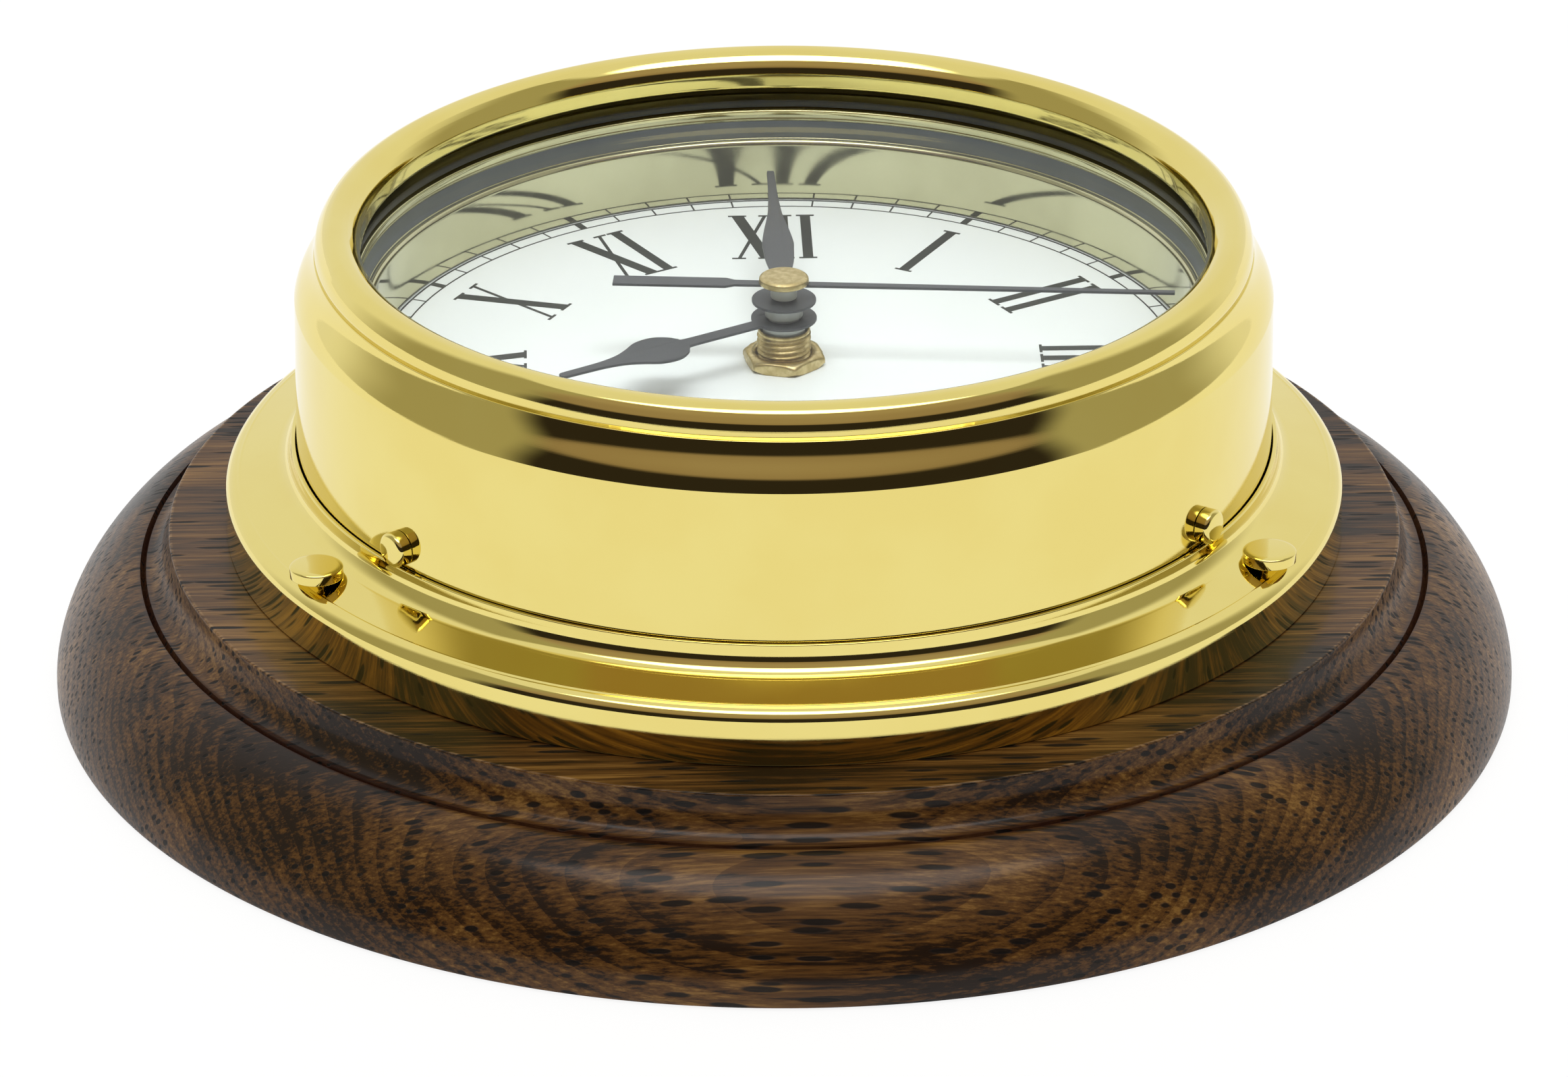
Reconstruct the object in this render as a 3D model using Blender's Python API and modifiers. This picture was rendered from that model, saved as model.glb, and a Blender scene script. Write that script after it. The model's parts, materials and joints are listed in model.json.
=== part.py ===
"""A ship's deck clock: a polished brass quartz clock on a turned oak mount.

The clock lies on its back. The origin is the centre of the oak mount's back face, +Z comes out of
the dial and +Y points to twelve o'clock. Sizes below are millimetres, and each piece is scaled to
metres as it is made.
"""

import math

import bmesh
import bpy

MM = 0.001
GAP = 0.3
STEPS = 44
SMALL_STEPS = 16

# Oak mount
OAK_RADIUS = 109.0
OAK_THICKNESS = 24.5
OAK_LAND_RADIUS = 91.6
OAK_GROOVE_RADIUS = 95.4
OAK_GROOVE_DEPTH = 6.2
OAK_FOOT_HEIGHT = 2.0
REAR_HOLE_RADIUS = 42.0

# Keyhole hanger on the mount's back
HANGER_Y = 74.0
HANGER_LENGTH = 46.0
HANGER_WIDTH = 15.0
HANGER_THICKNESS = 1.2
HANGER_POCKET_DEPTH = 9.5
HANGER_SCREW_X = 18.0
KEYHOLE_RADIUS = 4.4
KEYHOLE_SLOT_RADIUS = 2.4
KEYHOLE_SLOT = 5.0

# Brass base flange, its inner collar, and the drum standing in the groove between them
FLANGE_RADIUS = 83.0
FLANGE_FLAT_RADIUS = 80.7
FLANGE_EDGE_Z = 30.9
FLANGE_TOP_Z = 33.1
COVE_RADIUS = 76.2
COVE_REACH = 3.1
COVE_FOOT_Z = 34.4
COVE_TOP_Z = 37.5
LIP_ABOVE_COVE = 1.1
COLLAR_RADIUS = 70.1
COLLAR_BORE = 67.6
COLLAR_TOP_Z = 45.0
GROOVE_Z = 28.0
DRUM_RADIUS = 72.4
SHOULDER_RADIUS = 72.0
SHOULDER_Z = 61.3
NECK_RADIUS = 69.0
DRUM_TOP_Z = 68.2
DIAL_BORE = 67.3
LEDGE_BORE = 57.5
LEDGE_Z = 48.3
LEDGE_THICKNESS = 2.0

# Screws: three hold the flange to the oak, three hold the drum to the flange's collar
FLANGE_SCREW_ANGLES = (-150.1, -29.3, 90.1)
FLANGE_SCREW_RING = 79.1
FLANGE_SCREW_HEAD = 3.9
FLANGE_SCREW_TIP_Z = 14.5
FOOT_SCREW_ANGLES = (-141.2, -35.0, 90.0)
FOOT_SCREW_Z = 41.4
FOOT_SCREW_HEAD = 2.6
FOOT_SCREW_REACH = 2.8

# Bezel, glass and dial
CREST_RADIUS = 65.7
CREST_Z = 72.6
LIP_RADIUS = 62.2
LIP_TOP_Z = 69.4
LIP_UNDER_Z = 67.0
SKIRT_BORE = 65.9
SKIRT_LOW_Z = 60.2
GLASS_THICKNESS = 1.6
GASKET_THICKNESS = 1.2
DIAL_RING_FLANGE_Z = 59.3
DIAL_RING_TOP_Z = 63.3
DIAL_RING_COLLAR = 62.9
DIAL_Z = 49.1
DIAL_THICKNESS = 0.5
DIAL_WASHER_THICKNESS = 0.3
DIAL_SIGHT_RADIUS = 60.7

# Hand stack
BUSH_RADIUS = 4.0
BUSH_BORE = 3.5
BUSH_TOP_Z = 54.6
NUT_CORNER_RADIUS = 6.35
NUT_THICKNESS = 1.7
NUT_ANGLE = -16.7
HOUR_TUBE_RADIUS = 3.2
HOUR_TUBE_BORE = 2.6
MINUTE_TUBE_RADIUS = 2.3
MINUTE_TUBE_BORE = 1.1
SECOND_ARBOR_RADIUS = 0.7
HOUR_HAND_Z = 56.0
MINUTE_HAND_Z = 58.9
SECOND_HAND_Z = 61.4
HAND_THICKNESS = 0.4
HOUR_HAND_ANGLE = -149.0
MINUTE_HAND_ANGLE = 90.7
SECOND_HAND_ANGLE = -5.0

# Movement
MOVEMENT_HALF = 28.0
HOUSING_BACK_Z = 32.0
HOUSING_FRONT_Z = 47.7
GEAR_ROOM_TOP_Z = 46.2
GEAR_ROOM_LOW_Y = -9.7
BATTERY_Y = -18.9
BATTERY_Z = 39.1
BATTERY_RADIUS = 7.1
BATTERY_LENGTH = 50.5
COVER_BACK_Z = 30.2
COVER_FRONT_Z = 31.7
KNOB_BACK_Z = 27.5

# Gear trains: axes lie in plan round the hands' axis, which is (0, 0)
ROTOR_PINION_TEETH, INTERMEDIATE_WHEEL_TEETH = 6, 30
INTERMEDIATE_PINION_TEETH, SECOND_WHEEL_TEETH = 6, 36
SECOND_PINION_TEETH, THIRD_WHEEL_TEETH = 6, 45
THIRD_PINION_TEETH, CENTRE_WHEEL_TEETH = 6, 48
CANNON_TEETH, MOTION_WHEEL_TEETH = 8, 24
MOTION_PINION_TEETH, HOUR_WHEEL_TEETH = 8, 32
TRAIN_MODULE = 0.35
ROTOR_MODULE = 0.4
HOUR_MODULE = 0.45
ADDENDUM, DEDENDUM = 0.7, 1.05
TIP_HALF_WIDTH, ROOT_HALF_WIDTH = 0.11, 0.29
WHEEL_THICKNESS = 0.7
PINION_THICKNESS = 1.1
THIRD_ANGLE, INTERMEDIATE_ANGLE, ROTOR_ANGLE = 90.0, 20.0, -10.0
MOTION_ANGLE, KNOB_ANGLE = 150.0, 120.0

# Base colour, roughness and metallic of each finish
MATERIALS = {
    "polished_brass": ((0.83, 0.62, 0.24), 0.10, 1.0),
    "satin_brass": ((0.72, 0.58, 0.30), 0.38, 1.0),
    "dark_oak": ((0.12, 0.062, 0.03), 0.45, 0.0),
    "clear_glass": ((0.9, 0.95, 0.95), 0.02, 0.0),
    "black_rubber": ((0.02, 0.02, 0.02), 0.8, 0.0),
    "white_enamel": ((0.88, 0.91, 0.90), 0.4, 0.0),
    "black_hand": ((0.09, 0.095, 0.10), 0.45, 0.0),
    "pale_nylon": ((0.72, 0.73, 0.70), 0.5, 0.0),
    "black_plastic": ((0.03, 0.03, 0.03), 0.5, 0.0),
    "zinc_steel": ((0.62, 0.62, 0.60), 0.35, 1.0),
    "copper_winding": ((0.62, 0.28, 0.12), 0.4, 1.0),
    "green_board": ((0.04, 0.22, 0.10), 0.5, 0.0),
    "battery_jacket": ((0.07, 0.10, 0.22), 0.4, 0.0),
}


def clear_scene():
    for thing in list(bpy.data.objects):
        bpy.data.objects.remove(thing, do_unlink=True)


def collection(name):
    made = bpy.data.collections.new(name)
    bpy.context.scene.collection.children.link(made)
    return made


clear_scene()
CLOCK = collection("ships_deck_clock")
CUTTERS = collection("cutters")


def material(name):
    if name in bpy.data.materials:
        return bpy.data.materials[name]
    colour, roughness, metallic = MATERIALS[name]
    made = bpy.data.materials.new(name)
    made.use_nodes = True
    shader = made.node_tree.nodes["Principled BSDF"]
    shader.inputs["Base Color"].default_value = (*colour, 1.0)
    shader.inputs["Roughness"].default_value = roughness
    shader.inputs["Metallic"].default_value = metallic
    return made


def place(name, data, finish, centre=(0.0, 0.0)):
    """Puts the data in the scene as a part or, with no finish, as a cutter."""
    thing = bpy.data.objects.new(name, data)
    thing.location = (centre[0] * MM, centre[1] * MM, 0.0)
    if finish:
        data.materials.append(material(finish))
        CLOCK.objects.link(thing)
    else:
        thing.hide_render = True
        thing.display_type = "WIRE"
        CUTTERS.objects.link(thing)
    return thing


def combine(thing, other, operation):
    """Adds a Boolean with another piece, which is kept among the cutters."""
    modifier = thing.modifiers.new(f"{operation.lower()} {other.name}", "BOOLEAN")
    modifier.operation = operation
    modifier.solver = "EXACT"
    modifier.object = other


def cut(thing, *cutters):
    for cutter in cutters:
        combine(thing, cutter, "DIFFERENCE")


def join(thing, *others):
    for other in others:
        combine(thing, other, "UNION")


def polar(radius, degrees, origin=(0.0, 0.0)):
    angle = math.radians(degrees)
    return origin[0] + radius * math.cos(angle), origin[1] + radius * math.sin(angle)


def circle(radius, count=SMALL_STEPS, centre=(0.0, 0.0)):
    return [polar(radius, 360 * i / count, centre) for i in range(count)]


def arc(centre_r, centre_z, radius_r, radius_z, start, end, count):
    """Points along an ellipse's arc in the (r, z) plane, with angles in degrees from +r."""
    angles = [math.radians(start + (end - start) * i / (count - 1)) for i in range(count)]
    return [(centre_r + radius_r * math.cos(a), centre_z + radius_z * math.sin(a)) for a in angles]


def turned(name, finish, profile, centre=(0.0, 0.0), steps=STEPS):
    """Spins a profile of (r, z) points, listed down the outer side and back up the bore or axis."""
    mesh = bpy.data.meshes.new(name)
    points = [(r * MM, 0.0, z * MM) for r, z in profile]
    edges = [(i, i + 1) for i in range(len(points) - 1)]
    if profile[0][0] > 0:
        edges.append((len(points) - 1, 0))
    mesh.from_pydata(points, edges, [])
    thing = place(name, mesh, finish, centre)
    spin = thing.modifiers.new("spin", "SCREW")
    spin.steps = spin.render_steps = steps
    spin.use_merge_vertices = True
    spin.merge_threshold = 0.00001
    return thing


def ring(name, finish, outer, inner, low, high, centre=(0.0, 0.0), steps=STEPS):
    corners = [(outer, high), (outer, low), (inner, low), (inner, high)]
    return turned(name, finish, corners, centre, steps)


def rod(name, finish, radius, low, high, centre=(0.0, 0.0), sides=SMALL_STEPS):
    mesh = bpy.data.meshes.new(name)
    solid = bmesh.new()
    size = {"radius1": radius * MM, "radius2": radius * MM, "depth": (high - low) * MM}
    bmesh.ops.create_cone(solid, cap_ends=True, segments=sides, **size)
    bmesh.ops.translate(solid, vec=(0, 0, (low + high) / 2 * MM), verts=solid.verts)
    solid.to_mesh(mesh)
    solid.free()
    return place(name, mesh, finish, centre)


def lay_outward(thing, degrees, z):
    """Turns a piece made along Z so that it points away from the clock's axis at this height."""
    thing.rotation_euler = (0.0, math.pi / 2, math.radians(degrees))
    thing.location.z = z * MM
    return thing


def block(name, finish, low, high, rounding=0.0):
    """A box between two corners, its upright edges rounded if asked."""
    mesh = bpy.data.meshes.new(name)
    solid = bmesh.new()
    bmesh.ops.create_cube(solid, size=1.0)
    middle = [(a + b) / 2 * MM for a, b in zip(low, high)]
    bmesh.ops.scale(solid, vec=[(b - a) * MM for a, b in zip(low, high)], verts=solid.verts)
    if rounding:
        upright = [e for e in solid.edges if abs(e.verts[0].co.z - e.verts[1].co.z) > 1e-6]
        bmesh.ops.bevel(solid, geom=upright, offset=rounding * MM, segments=3, profile=0.5, affect="EDGES")
    bmesh.ops.translate(solid, vec=middle, verts=solid.verts)
    solid.to_mesh(mesh)
    solid.free()
    return place(name, mesh, finish)


def filled_mesh(name, outlines, low, high):
    """Fills a flat 2D curve between its outlines, thickens it and welds it into one mesh."""
    curve = bpy.data.curves.new(name + "_outline", "CURVE")
    curve.dimensions = "2D"
    curve.fill_mode = "BOTH"
    curve.extrude = (high - low) / 2 * MM
    for points in outlines:
        line = curve.splines.new("POLY")
        line.points.add(len(points) - 1)
        for point, (x, y) in zip(line.points, points):
            point.co = (x * MM, y * MM, 0.0, 1.0)
        line.use_cyclic_u = True
    drawn = bpy.data.objects.new(curve.name, curve)
    CLOCK.objects.link(drawn)
    bpy.context.view_layer.update()
    mesh = bpy.data.meshes.new_from_object(drawn.evaluated_get(bpy.context.evaluated_depsgraph_get()))
    bpy.data.objects.remove(drawn, do_unlink=True)
    solid = bmesh.new()
    solid.from_mesh(mesh)
    bmesh.ops.remove_doubles(solid, verts=solid.verts, dist=1e-6)
    bmesh.ops.translate(solid, vec=(0, 0, (low + high) / 2 * MM), verts=solid.verts)
    bmesh.ops.recalc_face_normals(solid, faces=solid.faces)
    solid.to_mesh(mesh)
    solid.free()
    mesh.name = name
    mesh.materials.clear()
    return mesh


def plate(name, finish, outlines, low, high, centre=(0.0, 0.0)):
    return place(name, filled_mesh(name, outlines, low, high), finish, centre)


# Oak mount and its hanger


def oak_profile():
    """Flat land, a cove down to the groove, a rounded outer moulding, a short foot, the rear hole."""
    groove_z = OAK_THICKNESS - OAK_GROOVE_DEPTH
    cove = arc(OAK_GROOVE_RADIUS + 0.2, OAK_THICKNESS - 0.6, 4.0, 5.4, 180, 262, 5)
    start = OAK_GROOVE_RADIUS + 0.4
    moulding = []
    for i in range(7):
        angle = math.radians(15 * i)
        out = (OAK_RADIUS - start) * math.sin(angle) ** 1.45
        up = (groove_z - OAK_FOOT_HEIGHT) * max(math.cos(angle), 0.0) ** 1.45
        moulding.append((start + out, OAK_FOOT_HEIGHT + up))
    foot = [(OAK_RADIUS, 0.8), (OAK_RADIUS - 0.8, 0.0)]
    bore = [(REAR_HOLE_RADIUS, 0.0), (REAR_HOLE_RADIUS, OAK_THICKNESS)]
    return [(OAK_LAND_RADIUS - 0.4, OAK_THICKNESS)] + cove + moulding + foot + bore


def make_wall_mount():
    mount = turned("wall_mount", "dark_oak", oak_profile(), steps=STEPS + 4)
    half_length, half_width = HANGER_LENGTH / 2 + GAP, HANGER_WIDTH / 2 + GAP
    recess_top = HANGER_THICKNESS + 2 * GAP
    recess_low = (-half_length, HANGER_Y - half_width, -1.0)
    recess_high = (half_length, HANGER_Y + half_width, recess_top)
    cut(mount, block("hanger_recess", None, recess_low, recess_high))
    pocket_low = (-6.5, HANGER_Y - 6.0, -1.0)
    pocket_high = (6.5, HANGER_Y + 6.5, HANGER_POCKET_DEPTH)
    cut(mount, block("hanger_pocket", None, pocket_low, pocket_high))
    for side in (-1, 1):
        centre = (side * HANGER_SCREW_X, HANGER_Y)
        cut(mount, rod(f"hanger_pilot_{side}", None, 1.6, -1.0, 14.0, centre, sides=10))
    for angle in FLANGE_SCREW_ANGLES:
        centre = polar(FLANGE_SCREW_RING, angle)
        pilot = rod(f"flange_pilot_{angle:.0f}", None, 1.9, FLANGE_SCREW_TIP_Z - 0.5, 30.0, centre, sides=10)
        cut(mount, pilot)


def make_hanger():
    low = GAP
    high = low + HANGER_THICKNESS
    length, width = HANGER_LENGTH / 2, HANGER_WIDTH / 2
    corners = (-length, HANGER_Y - width, low), (length, HANGER_Y + width, high)
    hanger = block("hanger_plate", "zinc_steel", *corners, 3.0)
    entry = (0.0, HANGER_Y - 1.5)
    slot_end = (0.0, entry[1] + KEYHOLE_SLOT)
    slot_low = (-KEYHOLE_SLOT_RADIUS, entry[1], -1.0)
    slot_high = (KEYHOLE_SLOT_RADIUS, slot_end[1], 3.0)
    cut(hanger, rod("keyhole_entry", None, KEYHOLE_RADIUS, -1.0, 3.0, entry, sides=20))
    cut(hanger, rod("keyhole_end", None, KEYHOLE_SLOT_RADIUS + 0.01, -1.0, 3.0, slot_end))
    cut(hanger, block("keyhole_slot", None, slot_low, slot_high))
    shank = [(0, 13.6), (1.3, 12.8), (1.3, 1.9), (2.9, 0.6), (2.9, 0.35), (0, 0.35)]
    for number, side in enumerate((-1, 1), 1):
        centre = (side * HANGER_SCREW_X, HANGER_Y)
        cut(hanger, rod(f"hanger_hole_{number}", None, 3.3, -1.0, 3.0, centre))
        turned(f"hanger_screw_{number}", "zinc_steel", shank, centre, steps=14)


# Brass case


def make_base_flange():
    """Shallow cone between a rolled edge and a cove, with a thin lip up the drum and a collar inside it."""
    bottom = OAK_THICKNESS + GAP
    edge_rise = FLANGE_TOP_Z - FLANGE_EDGE_Z
    edge = arc(FLANGE_FLAT_RADIUS, FLANGE_EDGE_Z, FLANGE_RADIUS - FLANGE_FLAT_RADIUS, edge_rise, 90, 0, 4)
    foot = [(FLANGE_RADIUS, bottom + 0.4), (FLANGE_RADIUS - 0.4, bottom), (COLLAR_BORE, bottom)]
    collar = [(COLLAR_BORE, COLLAR_TOP_Z), (COLLAR_RADIUS, COLLAR_TOP_Z), (COLLAR_RADIUS, GROOVE_Z)]
    groove = [(DRUM_RADIUS + GAP, GROOVE_Z), (DRUM_RADIUS + GAP, COVE_TOP_Z + LIP_ABOVE_COVE)]
    lip = [(COVE_RADIUS - COVE_REACH, COVE_TOP_Z + LIP_ABOVE_COVE)]
    cove = arc(COVE_RADIUS, COVE_TOP_Z, COVE_REACH, COVE_TOP_Z - COVE_FOOT_Z, 180, 262, 5)
    flange = turned("base_flange", "polished_brass", edge + foot + collar + groove + lip + cove)
    for angle in FLANGE_SCREW_ANGLES:
        centre = polar(FLANGE_SCREW_RING, angle)
        cut(flange, rod(f"flange_hole_{angle:.0f}", None, 1.9, 20.0, 40.0, centre, sides=10))
    for angle in FOOT_SCREW_ANGLES:
        hole = rod(f"collar_hole_{angle:.0f}", None, 1.5, COLLAR_BORE - 2, COLLAR_RADIUS + 1, sides=10)
        cut(flange, lay_outward(hole, angle, FOOT_SCREW_Z))


def make_case_drum():
    """Ogee shoulder, slightly tapered wall standing in the groove, and a ledge inside for the dial."""
    ogee = []
    for i in range(7):
        t = i / 6
        blend = (t + t * t * t * (10 - 15 * t + 6 * t * t)) / 2
        radius = NECK_RADIUS + (SHOULDER_RADIUS - NECK_RADIUS) * blend
        ogee.append((radius, DRUM_TOP_Z - (DRUM_TOP_Z - SHOULDER_Z) * t))
    foot = GROOVE_Z + GAP
    bore = COLLAR_RADIUS + GAP
    ledge_low = LEDGE_Z - LEDGE_THICKNESS
    outside = ogee + [(DRUM_RADIUS, foot), (bore, foot)]
    inside = [(bore, ledge_low), (LEDGE_BORE, ledge_low), (LEDGE_BORE, LEDGE_Z), (DIAL_BORE, LEDGE_Z),
              (DIAL_BORE, DRUM_TOP_Z)]
    drum = turned("case_drum", "polished_brass", outside + inside)
    for angle in FOOT_SCREW_ANGLES:
        hole = rod(f"drum_hole_{angle:.0f}", None, 1.5, bore - 2, DRUM_RADIUS + 2, sides=10)
        cut(drum, lay_outward(hole, angle, FOOT_SCREW_Z))


def screw_profile(head, seat, side, top, shank, tip):
    """A domed, slotless head over its seat with the shank below."""
    dome = arc(0, seat + side, head, top - seat - side, 90, 0, 5)
    return dome + [(head, seat), (shank, seat), (shank, tip), (0, tip)]


def make_case_screws():
    seat = FLANGE_TOP_Z + 1.6
    profile = screw_profile(FLANGE_SCREW_HEAD, seat, 1.0, seat + 1.5, 1.6, FLANGE_SCREW_TIP_Z)
    for number, angle in enumerate(FLANGE_SCREW_ANGLES, 1):
        centre = polar(FLANGE_SCREW_RING, angle)
        turned(f"flange_screw_{number}", "polished_brass", profile, centre, SMALL_STEPS)
    seat = DRUM_RADIUS + GAP
    profile = screw_profile(FOOT_SCREW_HEAD, seat, 2.0, seat + FOOT_SCREW_REACH, 1.2, COLLAR_BORE - 0.8)
    for number, angle in enumerate(FOOT_SCREW_ANGLES, 1):
        screw = turned(f"foot_screw_{number}", "polished_brass", profile, steps=SMALL_STEPS)
        lay_outward(screw, angle, FOOT_SCREW_Z)


def make_bezel():
    """Broad rolled crown on an upright neck, a lip over the glass, and a skirt that plugs into the drum."""
    seat = DRUM_TOP_Z + GAP
    neck = NECK_RADIUS - 0.1
    skirt = DIAL_BORE - GAP
    roll = arc(CREST_RADIUS, seat + 1.5, neck - CREST_RADIUS, CREST_Z - seat - 1.5, 90, 0, 6)
    outside = roll + [(neck, seat), (skirt, seat), (skirt, SKIRT_LOW_Z), (SKIRT_BORE, SKIRT_LOW_Z)]
    lip = [(SKIRT_BORE, LIP_UNDER_Z), (LIP_RADIUS, LIP_UNDER_Z)]
    inner_roll = arc(CREST_RADIUS, LIP_TOP_Z, CREST_RADIUS - LIP_RADIUS, CREST_Z - LIP_TOP_Z, 180, 112, 4)
    turned("bezel", "polished_brass", outside + lip + inner_roll)


def make_glass_and_gasket():
    top = LIP_UNDER_Z - GAP
    low = top - GLASS_THICKNESS
    edge = SKIRT_BORE - GAP
    turned("glass", "clear_glass", [(0, top), (edge - 0.3, top), (edge, top - 0.3), (edge, low), (0, low)])
    ring("glass_gasket", "black_rubber", edge, edge - 2.6, low - GAP - GASKET_THICKNESS, low - GAP)


def make_dial_ring():
    """A mirror-bright wall round the dial with a rolled rim, a flange, and a collar up to the gasket."""
    low = DIAL_Z + GAP
    flange = DIAL_RING_FLANGE_Z
    wall = DIAL_SIGHT_RADIUS
    collar = DIAL_RING_COLLAR
    edge = DIAL_BORE - GAP - 0.1
    outside = [(collar + 0.8, DIAL_RING_TOP_Z), (collar + 0.8, flange), (edge, flange),
               (edge, flange - 1.0), (wall + 1.6, flange - 1.6), (wall + 1.2, flange - 1.9),
               (wall + 1.2, low), (wall, low)]
    rim = arc(wall + 0.8, flange - 1.2, 0.8, 0.9, 180, 60, 4)
    turned("dial_ring", "polished_brass", outside + rim + [(collar, flange), (collar, DIAL_RING_TOP_Z)])


def make_dial():
    ring("dial", "white_enamel", DIAL_BORE - GAP - 0.1, BUSH_RADIUS + GAP, DIAL_Z - DIAL_THICKNESS, DIAL_Z)
    low = HOUSING_FRONT_Z + GAP
    ring("dial_washer", "black_rubber", 12.0, BUSH_RADIUS + GAP, low, low + DIAL_WASHER_THICKNESS, steps=24)


# Hands


def hand(name, half, hub_radius, hole, low, degrees):
    """A flat hand along its own +X: a round boss over the arbor, then the upper half of its outline."""
    start = math.degrees(math.asin(half[0][1] / hub_radius))
    boss = [polar(hub_radius, 180 - (180 - start) * i / 8) for i in range(9)]
    upper = boss[1:] + half[1:]
    outline = [boss[0]] + upper + [(x, -y) for x, y in reversed(upper)]
    made = plate(name, "black_hand", [outline, circle(hole)], low, low + HAND_THICKNESS)
    made.rotation_euler.z = math.radians(degrees)


def make_hour_and_minute_hands():
    hour = [(4.7, 1.2), (17.2, 1.2), (17.7, 2.3), (18.3, 2.9), (20.0, 4.0), (21.8, 4.25), (23.8, 3.9),
            (25.9, 2.5), (28.3, 1.45), (31.3, 0.9), (38.1, 0.8), (38.6, 0.35)]
    hand("hour_hand", hour, 4.85, HOUR_TUBE_BORE, HOUR_HAND_Z, HOUR_HAND_ANGLE)
    minute = [(4.6, 1.15), (8.5, 1.25), (12.0, 1.85), (15.0, 2.15), (18.4, 2.3), (21.0, 2.35), (25.5, 1.9),
              (28.5, 1.5), (31.8, 1.1), (38.4, 0.75), (47.7, 0.6), (48.2, 0.25)]
    hand("minute_hand", minute, 4.75, SECOND_ARBOR_RADIUS + GAP, MINUTE_HAND_Z, MINUTE_HAND_ANGLE)


def make_second_hand():
    """A straight needle with a broad counterpoise bar behind it, under a brass cap."""
    upper = [(57.5, 0.75), (1.7, 0.85), (-7.3, 0.9), (-8.6, 1.55), (-25.2, 1.55)]
    outline = upper + [(x, -y) for x, y in reversed(upper)]
    made = plate("second_hand", "black_hand", [outline], SECOND_HAND_Z, SECOND_HAND_Z + HAND_THICKNESS)
    made.rotation_euler.z = math.radians(SECOND_HAND_ANGLE)
    low = SECOND_HAND_Z + HAND_THICKNESS + GAP
    cap = [(0, low + 0.9), (3.3, low + 0.9), (3.7, low + 0.5), (3.7, low), (0, low)]
    turned("second_hand_cap", "satin_brass", cap, steps=24)


def make_bush_and_nut():
    barrel = [(BUSH_RADIUS - 0.4, BUSH_TOP_Z), (BUSH_RADIUS, BUSH_TOP_Z - 0.4), (BUSH_RADIUS, 45.9)]
    flange = [(6.0, 45.9), (6.0, 45.4), (BUSH_BORE, 45.4), (BUSH_BORE, BUSH_TOP_Z)]
    turned("threaded_bush", "satin_brass", barrel + flange, steps=24)
    low = DIAL_Z + GAP
    nut = rod("hex_nut", "satin_brass", NUT_CORNER_RADIUS, low, low + NUT_THICKNESS, sides=6)
    nut.rotation_euler.z = math.radians(NUT_ANGLE)
    cut(nut, rod("nut_bore", None, BUSH_RADIUS + GAP, DIAL_Z - 1.0, DIAL_Z + 4.0, sides=24))


def make_hand_sleeves():
    low = HOUR_HAND_Z + HAND_THICKNESS + GAP
    ring("minute_hand_sleeve", "pale_nylon", 2.8, 2.0, low, MINUTE_HAND_Z - GAP, steps=SMALL_STEPS)
    low = MINUTE_HAND_Z + HAND_THICKNESS + GAP
    ring("second_hand_sleeve", "pale_nylon", 1.95, 1.0, low, SECOND_HAND_Z - GAP, steps=SMALL_STEPS)


# Gear trains


def gear(name, finish, teeth, module, low, thickness, phase, centre=(0.0, 0.0), bore=0.0):
    """A spur gear whose phase is the angle of the middle of one tooth, in radians."""
    pitch = 2 * math.pi / teeth
    inner, outer = (teeth / 2 - DEDENDUM) * module, (teeth / 2 + ADDENDUM) * module
    root, tip = ROOT_HALF_WIDTH, TIP_HALF_WIDTH
    corners = ((inner, -root), (outer, -tip), (outer, tip), (inner, root))
    outline = []
    for tooth in range(teeth):
        for radius, share in corners:
            angle = phase + (tooth + share) * pitch
            outline.append((radius * math.cos(angle), radius * math.sin(angle)))
    outlines = [outline, circle(bore)] if bore else [outline]
    return plate(name, finish, outlines, low, low + thickness, centre)


def meshing_phase(phase, teeth, direction, other_teeth):
    """Phase of a gear that meshes with a gear of the given phase and lies in this direction from it."""
    turn = math.radians(direction)
    return turn + math.pi + math.pi / other_teeth - (phase - turn) * teeth / other_teeth


def centre_distance(module, teeth, other_teeth):
    return module * (teeth + other_teeth) / 2


def matching_module(distance, teeth, other_teeth):
    return 2 * distance / (teeth + other_teeth)


TRAIN_DISTANCE = centre_distance(TRAIN_MODULE, THIRD_PINION_TEETH, CENTRE_WHEEL_TEETH)
THIRD_MODULE = matching_module(TRAIN_DISTANCE, SECOND_PINION_TEETH, THIRD_WHEEL_TEETH)
INTERMEDIATE_DISTANCE = centre_distance(TRAIN_MODULE, INTERMEDIATE_PINION_TEETH, SECOND_WHEEL_TEETH)
ROTOR_DISTANCE = centre_distance(ROTOR_MODULE, ROTOR_PINION_TEETH, INTERMEDIATE_WHEEL_TEETH)
MOTION_DISTANCE = centre_distance(HOUR_MODULE, MOTION_PINION_TEETH, HOUR_WHEEL_TEETH)
MOTION_MODULE = matching_module(MOTION_DISTANCE, CANNON_TEETH, MOTION_WHEEL_TEETH)
THIRD_AXIS = polar(TRAIN_DISTANCE, THIRD_ANGLE)
INTERMEDIATE_AXIS = polar(INTERMEDIATE_DISTANCE, INTERMEDIATE_ANGLE)
ROTOR_AXIS = polar(ROTOR_DISTANCE, ROTOR_ANGLE, INTERMEDIATE_AXIS)
MOTION_AXIS = polar(MOTION_DISTANCE, MOTION_ANGLE)
KNOB_AXIS = polar(MOTION_DISTANCE, KNOB_ANGLE, MOTION_AXIS)


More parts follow.
